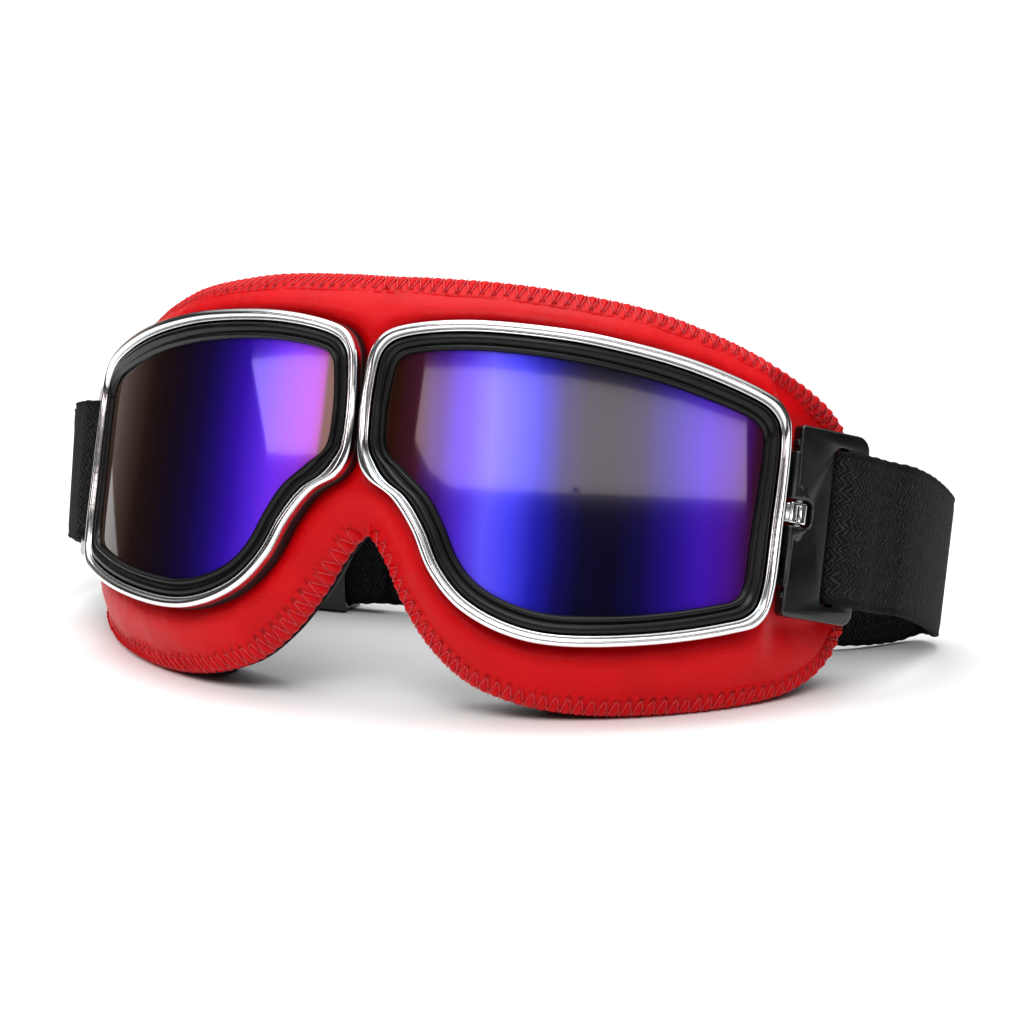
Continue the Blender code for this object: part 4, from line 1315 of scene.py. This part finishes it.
@dataclass
class HingedBuckle:
    """Chrome knuckle on the rim, pin, and the moulded buckle that turns on it."""

    side: Side
    shop: Workshop
    pin_s: float = 96.2
    pin_v: float = 24.0
    pin_n: float = -2.3
    pin_tilt: float = 0.075
    heading: float = math.radians(55.0)
    low: float = -21.4
    high: float = 18.4
    near: float = -2.2
    far: float = 16.2
    slot_near: float = 7.3
    slot_far: float = 10.7
    strap_drop: float = -1.5
    strap_half: float = 16.0
    thick: float = 3.2

    def frame_at(self) -> Matrix:
        """Local frame on the pin: along the buckle, outwards, up the pin."""
        spot = [WRAP.points(*p, 0.0) for p in ((self.pin_s, self.pin_v),
                                               (self.pin_s + self.pin_tilt, self.pin_v + 1.0))]
        up = Vector(spot[1] - spot[0]).normalized()
        along = Vector((math.cos(self.heading), math.sin(self.heading), 0.0))
        along = (along - up * along.dot(up)).normalized()
        out = along.cross(up).normalized()
        at = Matrix((along, out, up)).transposed().to_4x4()
        at.translation = Vector(WRAP.points(self.pin_s, self.pin_v, self.pin_n))
        if self.side is Side.RIGHT:
            at = Matrix.Scale(-1.0, 4, Vector((1, 0, 0))) @ at
        return at

    def plate_frame(self) -> Matrix:
        """Pin frame turned so that the plate's thickness lies outwards."""
        swap = Matrix(((1, 0, 0, 0), (0, 0, 1, 0), (0, 1, 0, 0), (0, 0, 0, 1)))
        return self.frame_at() @ swap

    def plate(self) -> None:
        """Buckle plate with its strap slot and the pocket for the knuckle."""
        outer = rounded_loop([(self.near, self.high, 0.9), (self.near, 3.1, 0.5), (2.6, 2.6, 1.2),
                              (2.6, -2.6, 1.2), (self.near, -3.1, 0.5), (self.near, self.low, 1.2),
                              (self.far, self.low, 2.6), (self.far, self.high, 3.2)])
        top = self.strap_drop + self.strap_half + 0.3
        bottom = self.strap_drop - self.strap_half - 0.5
        slot = rounded_loop([(self.slot_near, top, 1.3), (self.slot_near, bottom, 1.6),
                             (self.slot_far, bottom, 0.8), (self.slot_far, top, 0.8)])
        half = self.thick / 2
        piece = plate_object(f"buckle_plate_{self.side.word}", [outer, slot], -half, half, 0.55,
                             self.plate_frame(), self.shop.nylon)
        ride(piece, self.side.buckle_body, (f"buckle_{self.side.word}",))

    def barrels(self) -> None:
        """Raised hinge ridge on the near edge, flaring where it holds the pin's two ends."""
        upper = [(-3.5, 12.6, 0.5), (-3.5, 2.75, 0.5), (1.9, 2.75, 0.6), (0.9, 4.1, 0.8),
                 (-1.6, 5.4, 0.8), (-1.9, 12.9, 0.5)]
        lower = [(-3.3, -2.75, 0.5), (-3.1, -15.4, 0.5), (-1.9, -15.7, 0.5), (-1.7, -5.4, 0.8),
                 (0.9, -4.1, 0.8), (1.9, -2.75, 0.6)]
        for word, outline in (("upper", upper), ("lower", lower)):
            piece = plate_object(f"buckle_ridge_{word}_{self.side.word}",
                                 [rounded_loop(outline, 5)], -1.4, 2.3, 0.62, self.plate_frame(),
                                 self.shop.nylon)
            ride(piece, self.side.buckle_body)
        at = self.frame_at()
        for word, sign in (("upper", 1.0), ("lower", -1.0)):
            profile = [(0.0, 2.78), (1.7, 2.78), (2.1, 3.1), (2.15, 3.8), (1.9, 4.8), (1.2, 6.2),
                       (0.5, 7.2), (0.0, 7.4)]
            if sign < 0:
                profile = [(r, -h) for r, h in profile[::-1]]
            step = at @ Matrix.Translation(Vector((-0.6, 0.2, 0.0)) * MM)
            piece = turned_object(f"buckle_barrel_{word}_{self.side.word}", profile, step,
                                  self.shop.nylon)
            ride(piece, self.side.buckle_body)

    def ribs(self) -> None:
        """Small moulded teeth that key the ridge into the plate."""
        at = self.plate_frame()
        for k, w in enumerate((14.6, -17.2)):
            loop = rounded_loop([(-2.7, w + 0.6, 0.3), (-2.7, w - 0.6, 0.3), (-1.5, w - 0.6, 0.3),
                                 (-1.5, w + 0.6, 0.3)], 3)
            piece = plate_object(f"buckle_tooth_{k}_{self.side.word}", [loop], -0.8, 1.2, 0.25, at,
                                 self.shop.nylon)
            ride(piece, self.side.buckle_body)

    def knuckle(self) -> None:
        """Folded chrome knuckle: a slit loop round the pin on a tab from the rim."""
        at = self.plate_frame()
        outer = rounded_loop([(-2.9, 2.3, 0.35), (-2.9, -2.3, 0.35), (1.35, -2.3, 0.5),
                              (1.35, 2.3, 0.5)], 4)
        slit = rounded_loop([(-1.05, 1.4, 0.15), (-1.05, -1.55, 0.15), (-0.55, -1.55, 0.15),
                             (-0.55, 1.4, 0.15)], 3)
        piece = plate_object(f"knuckle_loop_{self.side.word}", [outer, slit], -1.5, 1.6, 0.5, at,
                             self.shop.chrome)
        ride(piece, MASK_BODY, (f"rim_knuckle_{self.side.word}",))
        tab = rounded_loop([(-5.0, 2.1, 0.3), (-5.0, -2.1, 0.3), (-2.0, -2.1, 0.3),
                            (-2.0, 2.1, 0.3)], 3)
        piece = plate_object(f"knuckle_tab_{self.side.word}", [tab], -1.0, 0.6, 0.3, at,
                             self.shop.chrome)
        ride(piece, MASK_BODY)

    def build(self) -> None:
        """Make the buckle and dress its pin."""
        self.plate()
        self.barrels()
        self.ribs()
        self.knuckle()
        dress(f"hinge_pin_{self.side.word}", self.shop.steel)


def dress(node: str, material: bpy.types.Material) -> None:
    """Give a node of the frame a finished material."""
    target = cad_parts[node]
    target.data.materials.clear()
    target.data.materials.append(material)
    LOG.info("%s dressed with %s", node, material.name)


# ------------------------------------------------------------------ strap

@dataclass
class ElasticStrap:
    """Elastic strap: two runs looped through the buckles, a back length, tails and adjusters."""

    shop: Workshop
    half_width: float = 16.0
    thick: float = 1.7
    loop_end: float = 21.0
    loop_gap: float = 1.6
    corner_tilt: float = 0.08
    join_x: float = 44.0
    right_swing: float = 3.4

    def route(self, buckle: HingedBuckle) -> np.ndarray:
        """Centre line of the left run in mm, from the buckle round the corner to the middle."""
        at = buckle.frame_at()
        drop = buckle.strap_drop
        start = at @ (Vector((self.loop_end + self.loop_gap, 0.0, drop)) * MM) / MM
        ahead = at @ (Vector((self.loop_end + self.loop_gap + 6.0, 0.0, drop)) * MM) / MM
        _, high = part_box("strap_band")
        back = high.y / MM - 20.6
        back_z = 17.7
        points = [tuple(start), (ahead.x + 0.3, ahead.y, ahead.z + 0.1), (101.8, back - 6.0, 26.8),
                  (102.4, back + 7.0, 21.2), (100.9, back + 15.5, 18.0), (97.0, back + 19.3, 16.8),
                  (92.6, back + 15.6, 16.3), (86.0, back + 8.6, 16.5), (77.0, back + 2.2, 17.2),
                  (66.0, back, back_z), (45.0, back, back_z), (22.0, back, back_z),
                  (0.0, back, back_z)]
        return smooth_path(points, False, 10)

    def ribbon(self, name: str, path: np.ndarray, ups: np.ndarray,
               side: Side = Side.LEFT) -> bpy.types.Object:
        """Webbing along a path.

        Args:
            name: name of the piece.
            path: centre line in mm.
            ups: direction across the webbing at each point.
            side: which side the run is on.

        Returns:
            The new object, carrying the weave's own coordinates.
        """
        tangent = unit(np.gradient(path, axis=0))
        off = unit(np.cross(tangent, ups))
        steps = np.linalg.norm(np.diff(path, axis=0), axis=1)
        along = np.concatenate([[0.0], np.cumsum(steps)])
        half, rise = self.half_width, self.thick / 2
        across = [-half, -half + 0.12, -half + 0.45, -half + 1.2, -half + 1.5]
        across += list(np.linspace(-half + 3.0, half - 3.0, 15))
        across += [half - 1.5, half - 1.2, half - 0.45, half - 0.12, half]
        cut = []
        for y in across:
            margin = half - abs(y)
            swell = rise * min(1.0, math.sqrt(max(margin, 0.0) / 0.45)) if margin < 0.45 else rise
            dip = 0.12 if 1.15 < margin < 1.55 else 0.0
            cut.append((y, swell - dip))
        section = cut + [(y, -h) for y, h in cut[::-1] if h > 1e-6]
        verts, marks = [], []
        apex = along[int(np.argmax(path[:, 1] * (path[:, 0] > 90.0)))]
        for i, at in enumerate(path):
            pinch = 1.0 - 0.045 * math.exp(-((along[i] - apex) / 4.5) ** 2)
            fuzz = 0.05 * math.sin(along[i] * 2.9) * math.cos(along[i] * 1.3)
            for y, h in section:
                edge = 0.10 * math.sin(along[i] * 1.9 + (0 if y > 0 else 2.0)) if abs(y) > half - 0.5 else 0
                verts.append(at + ups[i] * (y * pinch + edge) + off[i] * (h + math.copysign(fuzz, h)))
                marks.append((along[i], y, h))
        points = np.array(verts) * MM
        cols = len(section)
        faces = grid_faces(len(path), cols, Spread.OPEN, Spread.CLOSED)
        faces += [tuple(range(cols)), tuple(range((len(path) - 1) * cols, len(path) * cols))]
        if side is Side.RIGHT:
            points = points * np.array([-1.0, 1.0, 1.0])
        piece = mesh_object(name, points, faces, self.shop.elastic, 60.0, 0.0)
        set_attribute(piece, "weave_mm", np.array(marks))
        return piece

    def run(self, side: Side) -> np.ndarray:
        """Looped end and side run of the strap, shaped from the buckle round the corner to the back and
        fixed to no body.

        Args:
            side: which side the run is on.

        Returns:
            The centre line of the left run, in mm.
        """
        left = HingedBuckle(Side.LEFT, self.shop)
        at = left.frame_at()
        lean = np.array(at.col[2].to_3d())
        drop = left.strap_drop
        bar = left.slot_near + 0.75 + self.thick / 2
        inner = [(27.0, -1.35), (23.0, -1.55), (20.0, -2.1), (17.5, -2.65), (14.5, -2.85), (12.0, -2.9),
                 (10.4, -2.75), (bar + 0.5, -2.0), (bar, -0.8), (bar, 0.8), (bar + 0.5, 2.0),
                 (10.4, 2.75), (12.0, 2.9), (14.5, 2.85), (17.5, 2.3), (20.0, 1.3)]
        local = [at @ (Vector((u, t, drop)) * MM) / MM for u, t in inner]
        band = self.route(left)
        rest = [tuple(p) for p in band[5::5]]
        path, _ = resample(smooth_path([tuple(p) for p in local] + rest, False, 6), 0.8)
        corner = np.array([self.corner_tilt, 0.03, 1.0])
        corner /= np.linalg.norm(corner)
        upright = np.array([0.0, 0.0, 1.0])
        apex = int(np.argmax(path[:, 1]))
        first = int(np.argmax(path[:, 1] > np.array(at.translation)[1] / MM + 18.0))
        ups = np.empty_like(path)
        for i in range(len(path)):
            if i < apex:
                mix = ease(np.clip((i - first) / max(1, apex - first), 0, 1))
                ups[i] = lean * (1 - mix) + corner * mix
            else:
                mix = ease(np.clip((i - apex) / 30.0, 0, 1))
                ups[i] = corner * (1 - mix) + upright * mix
        ups = unit(ups)
        keep = ~((path[:, 0] < self.join_x) & (path[:, 1] > 20.0))
        path, ups = path[keep], ups[keep]
        if side is Side.RIGHT:
            apex_y = path[:, 1].max()
            swing = np.clip((path[:, 0] - 86.0) / 10.0, 0, 1) * np.clip((path[:, 1] + 6.0) / 10.0, 0, 1)
            path[:, 0] += self.right_swing * swing * np.clip((apex_y + 6.0 - path[:, 1]) / 8.0, 0, 1)
        piece = self.ribbon(f"strap_run_{side.word}", path, ups, side)
        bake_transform(piece)
        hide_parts(f"strap_loop_{side.word}")
        LOG.info("%s bends between %s and %s", piece.name, MASK_BODY, side.buckle_body)
        return band

    def straight(self, name: str, ends: tuple[float, float], back: float, level: float,
                 count: int) -> bpy.types.Object:
        """Level webbing that stands on edge between two x positions, all in mm."""
        path = np.column_stack([np.linspace(*ends, count), np.full(count, back), np.full(count, level)])
        return self.ribbon(name, path, np.tile([0.0, 0.0, 1.0], (count, 1)))

    def back_length(self, band: np.ndarray) -> None:
        """Straight length behind the head, and the two folded tails inside it.

        Args:
            band: centre line of the left run in mm, whose last point lies on the back length.
        """
        back, level = band[-1][1], band[-1][2]
        reach = self.join_x + 0.2
        piece = self.straight("strap_back", (reach, -reach), back, level, 120)
        ride(piece, MASK_BODY, ("strap_band",))
        for side in Side:
            low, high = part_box(f"strap_tail_{side.word}")
            middle = (low.y + high.y) / 2 / MM
            piece = self.straight(f"strap_tail_{side.word}_web", (high.x / MM, low.x / MM), middle,
                                  level, 60)
            ride(piece, MASK_BODY, (f"strap_tail_{side.word}",))

    def adjuster(self, side: Side) -> None:
        """Moulded three-bar adjuster round both layers of the strap.

        Args:
            side: which side the adjuster is on.
        """
        low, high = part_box(f"strap_slide_{side.word}")
        centre = (low + high) / 2
        half = (high - low) / 2 / MM
        ring_at = Matrix.Translation(centre) @ Matrix(((0, 0, 1, 0), (1, 0, 0, 0), (0, 1, 0, 0),
                                                        (0, 0, 0, 1)))
        outer = rounded_loop([(half.y, half.z, 1.4), (-half.y, half.z, 1.4), (-half.y, -half.z, 1.4),
                              (half.y, -half.z, 1.4)])
        inner = rounded_loop([(half.y - 1.5, half.z - 1.4, 0.6), (-half.y + 1.5, half.z - 1.4, 0.6),
                              (-half.y + 1.5, -half.z + 1.4, 0.6), (half.y - 1.5, -half.z + 1.4, 0.6)])
        piece = plate_object(f"adjuster_{side.word}", [outer, inner], -half.x, half.x, 0.35, ring_at,
                             self.shop.nylon)
        cutters = []
        for x in (-3.2, 3.2):
            bpy.ops.mesh.primitive_cube_add(size=1.0)
            cutter = bpy.context.object
            cutter.scale = Vector((4.0, 6.0, 28.0)) * MM
            cutter.location = centre + Vector((x, half.y, 0.0)) * MM
            bpy.context.view_layer.update()
            mod = piece.modifiers.new("window", "BOOLEAN")
            mod.solver = "EXACT"
            mod.object = cutter
            cutters.append(cutter)
        bpy.context.view_layer.update()
        graph = bpy.context.evaluated_depsgraph_get()
        cut = bpy.data.meshes.new_from_object(piece.evaluated_get(graph), depsgraph=graph)
        piece.modifiers.clear()
        piece.data = cut
        for cutter in cutters:
            bpy.data.objects.remove(cutter, do_unlink=True)
        ride(piece, side.slide_body, (f"strap_slide_{side.word}",))

    def build(self) -> None:
        """Make all of the strap."""
        band = np.array([])
        for side in Side:
            band = self.run(side)
            self.adjuster(side)
        self.back_length(band)


# ------------------------------------------------------------------ nose bridge

class NoseBridge:
    """Steel plate and rivets that tie the two shells together behind the leather."""

    NODES = ("nose_bridge", "rivet_upper_left", "rivet_lower_left", "rivet_upper_right",
             "rivet_lower_right")

    def __init__(self, shop: Workshop) -> None:
        """Dress the frame's own pieces."""
        for node in self.NODES:
            dress(node, shop.steel)


# ------------------------------------------------------------------ studio

@dataclass
class Studio:
    """Pale floor, soft lights, reflector strips for the lenses, and the camera."""

    azimuth: float = 0.385482
    elevation: float = 0.209440
    roll: float = -0.0034006
    camera_at: tuple = (0.22617, -0.51810, 0.15245)
    focal_mm: float = 92.03
    floor_half: float = 30.0
    panel_glow: float = 5.0

    def floor(self) -> None:
        """Wide white sweep under the goggles, glowing faintly further out."""
        material, tree, shader = new_material("studio_floor_white")
        place = object_place(tree)
        far = add_node(tree, "ShaderNodeVectorMath", {"operation": "LENGTH"}, {0: place})
        set_shader(tree, shader, {
            "Base Color": linear("F6F6F6"), "Specular IOR Level": 0.2,
            "Roughness": add_range(tree, add_noise(tree, place, 3.0), (0.0, 1.0), (0.45, 0.55)),
            "Emission Color": (1.0, 1.0, 1.0, 1.0),
            "Emission Strength": add_range(tree, far.outputs["Value"], (0.35, 2.2), (0.0, 0.75))})
        half = self.floor_half
        corners = [(-half, -half, 0), (half, -half, 0), (half, half, 0), (-half, half, 0)]
        self.sheet("studio_floor", corners, [(0, 1, 2, 3)], material)

    def sheet(self, name: str, verts: list, faces: list,
              material: bpy.types.Material) -> bpy.types.Object:
        """Flat or curved sheet that belongs to the stage.

        Args:
            name: name of the sheet.
            verts: its corners in metres.
            faces: corner numbers of each face.
            material: its finish.

        Returns:
            The new object.
        """
        mesh = bpy.data.meshes.new(name)
        mesh.from_pydata([tuple(v) for v in verts], [], faces)
        mesh.materials.append(material)
        piece = link(bpy.data.objects.new(name, mesh))
        return piece

    def card(self, name: str, verts: list, faces: list, colour: tuple, strength: object) -> None:
        """Glowing sheet that only shows as a reflection.

        Args:
            name: name of the sheet.
            verts: its corners in metres.
            faces: corner numbers of each face.
            colour: linear colour of its glow.
            strength: brightness, or a function that makes a brightness socket in the node tree.
        """
        material = bpy.data.materials.new(name)
        material.use_nodes = True
        tree = material.node_tree
        tree.nodes.clear()
        level = strength(tree) if callable(strength) else strength
        glow = add_node(tree, "ShaderNodeEmission", None, {"Color": colour, "Strength": level})
        add_node(tree, "ShaderNodeOutputMaterial", None, {"Surface": glow.outputs["Emission"]})
        piece = self.sheet(name, verts, faces, material)
        piece.visible_camera = piece.visible_diffuse = piece.visible_shadow = False

    def world(self) -> None:
        """Soft surround: bright overhead, darker in a band above the horizon."""
        world = bpy.data.worlds.new("studio")
        bpy.context.scene.world = world
        world.use_nodes = True
        tree = world.node_tree
        shade = tree.nodes["Background"]
        place = add_node(tree, "ShaderNodeTexCoord")
        parts = add_node(tree, "ShaderNodeSeparateXYZ", None, {"Vector": place.outputs["Generated"]})
        level = add_node(tree, "ShaderNodeValToRGB", None, {"Fac": parts.outputs["Z"]})
        set_ramp(level, [(0.0, (0.05, 0.05, 0.05, 1)), (0.40, (0.05, 0.05, 0.05, 1)),
                         (0.62, (0.8, 0.8, 0.8, 1)), (1.0, (1.7, 1.7, 1.7, 1))])
        tree.links.new(level.outputs["Color"], shade.inputs["Color"])
        shade.inputs["Strength"].default_value = 1.0

    def lamp(self, name: str, at: tuple, size: tuple, power: float) -> None:
        """One rectangular soft light aimed at the goggles.

        Args:
            name: name of the light.
            at: its place in metres.
            size: its width and height in metres.
            power: its strength in watts.
        """
        data = bpy.data.lights.new(name, "AREA")
        data.shape = "RECTANGLE"
        data.size, data.size_y = size
        data.energy = power
        lamp = bpy.data.objects.new(name, data)
        lamp.location = at
        aim = Vector((0.0, 0.0, 0.04)) - Vector(at)
        lamp.rotation_euler = aim.to_track_quat("-Z", "Y").to_euler()
        lamp.visible_camera = False
        link(lamp)

    def reflector(self, side: Side, lower: list, upper: list, reach: float = 1.8) -> None:
        """Curved soft panel placed where one lens mirrors it as a pale upper half.

        Args:
            side: which lens.
            lower: flat points of the panel's lower edge as it shows in the lens.
            upper: flat points of its upper edge.
            reach: distance of the panel in metres.
        """
        low, high = np.array(lower), np.array(upper)
        cols, rows = 40, 8
        s_low = np.linspace(low[0, 0], low[-1, 0], cols)
        s_high = np.linspace(high[0, 0], high[-1, 0], cols)
        v_low = np.interp(s_low, low[:, 0], low[:, 1])
        v_high = np.interp(s_high, high[:, 0], high[:, 1])
        eye = np.array(self.camera_at)
        verts = []
        for r in range(rows):
            share = r / (rows - 1)
            s = s_low + (s_high - s_low) * share
            v = v_low + (v_high - v_low) * share
            spot = WRAP.points(s, v, LENS_FACES[0], side)
            normal = WRAP.normals(s, v, side)
            look = unit(spot - eye)
            away = look - 2 * np.sum(look * normal, axis=1)[:, None] * normal
            flat = np.linalg.norm(away[:, :2], axis=1)
            verts.append(spot + away * (reach / flat)[:, None])
        self.card(f"soft_panel_{side.word}", np.concatenate(verts),
                  grid_faces(rows, cols, Spread.OPEN, Spread.OPEN), (1.0, 0.86, 0.84, 1.0),
                  self.panel_glow)

    def flag(self) -> None:
        """Graded card at the far side that keeps the floor's glare out of the right lens."""
        def grade(tree: bpy.types.NodeTree) -> bpy.types.NodeSocket:
            """Dim beside the goggles, brighter behind them."""
            parts = add_node(tree, "ShaderNodeSeparateXYZ", None, {"Vector": object_place(tree)})
            return add_range(tree, parts.outputs["Y"], (0.05, 0.75), (0.04, 0.9))

        x, near, far, top = -0.7, -0.7, 0.9, 0.25
        corners = [(x, near, 0.0), (x, far, 0.0), (x, far, top), (x, near, top)]
        self.card("side_card", corners, [(0, 1, 2, 3)], (1.0, 0.82, 0.72, 1.0), grade)

    def camera(self) -> None:
        """Camera a little above the goggles, turned to the wearer's left."""
        data = bpy.data.cameras.new("camera")
        data.lens = self.focal_mm
        data.sensor_width = 36.0
        data.clip_end = 200.0
        camera = bpy.data.objects.new("camera", data)
        az, el, roll = self.azimuth, self.elevation, self.roll
        back = Vector((math.sin(az) * math.cos(el), -math.cos(az) * math.cos(el), math.sin(el)))
        right = Vector((math.cos(az), math.sin(az), 0.0))
        up = back.cross(right)
        turned = right * math.cos(roll) + up * math.sin(roll)
        raised = up * math.cos(roll) - right * math.sin(roll)
        pose = Matrix((turned, raised, back)).transposed().to_4x4()
        pose.translation = Vector(self.camera_at)
        camera.matrix_world = pose
        bpy.context.scene.camera = link(camera)

    def build(self) -> None:
        """Set the stage."""
        bpy.context.scene.view_settings.view_transform = "Standard"
        self.floor()
        self.world()
        self.camera()
        self.flag()
        self.lamp("key_light", (0.3, -1.2, 1.5), (1.2, 0.9), 15.0)
        self.lamp("top_light", (-0.2, 0.3, 1.8), (1.6, 1.2), 14.0)
        self.lamp("fill_light", (-1.2, -0.9, 1.4), (0.8, 0.6), 5.0)
        self.reflector(Side.LEFT,
                       [(12.5, 41.5), (15.7, 35.5), (20.5, 32.2), (30.9, 31.9), (51.5, 30.9),
                        (73.0, 29.0), (82.6, 27.9)],
                       [(13.7, 56.2), (23.0, 56.6), (33.5, 55.8), (44.0, 54.5), (54.4, 52.5),
                        (67.3, 49.0), (81.6, 43.7)])
        self.reflector(Side.RIGHT,
                       [(5.0, 37.4), (17.0, 36.4), (28.0, 36.3), (40.8, 37.0), (48.3, 38.2)],
                       [(5.0, 57.8), (17.8, 57.2), (28.6, 55.3), (40.7, 52.4), (48.7, 47.8)])


def main() -> None:
    """Build the goggles piece by piece and set the stage."""
    logging.basicConfig(level=logging.INFO, format="%(name)s: %(message)s")
    WRAP.settle()
    LOG.info("wrap settled at front %.2f, floor %.2f", WRAP.front, WRAP.floor)
    shop = Workshop()
    PaddedMask(shop).build()
    for side in Side:
        EyePiece(side, shop).build()
        HingedBuckle(side, shop).build()
    ElasticStrap(shop).build()
    NoseBridge(shop)
    Studio().build()


if __name__ == "__main__":
    main()
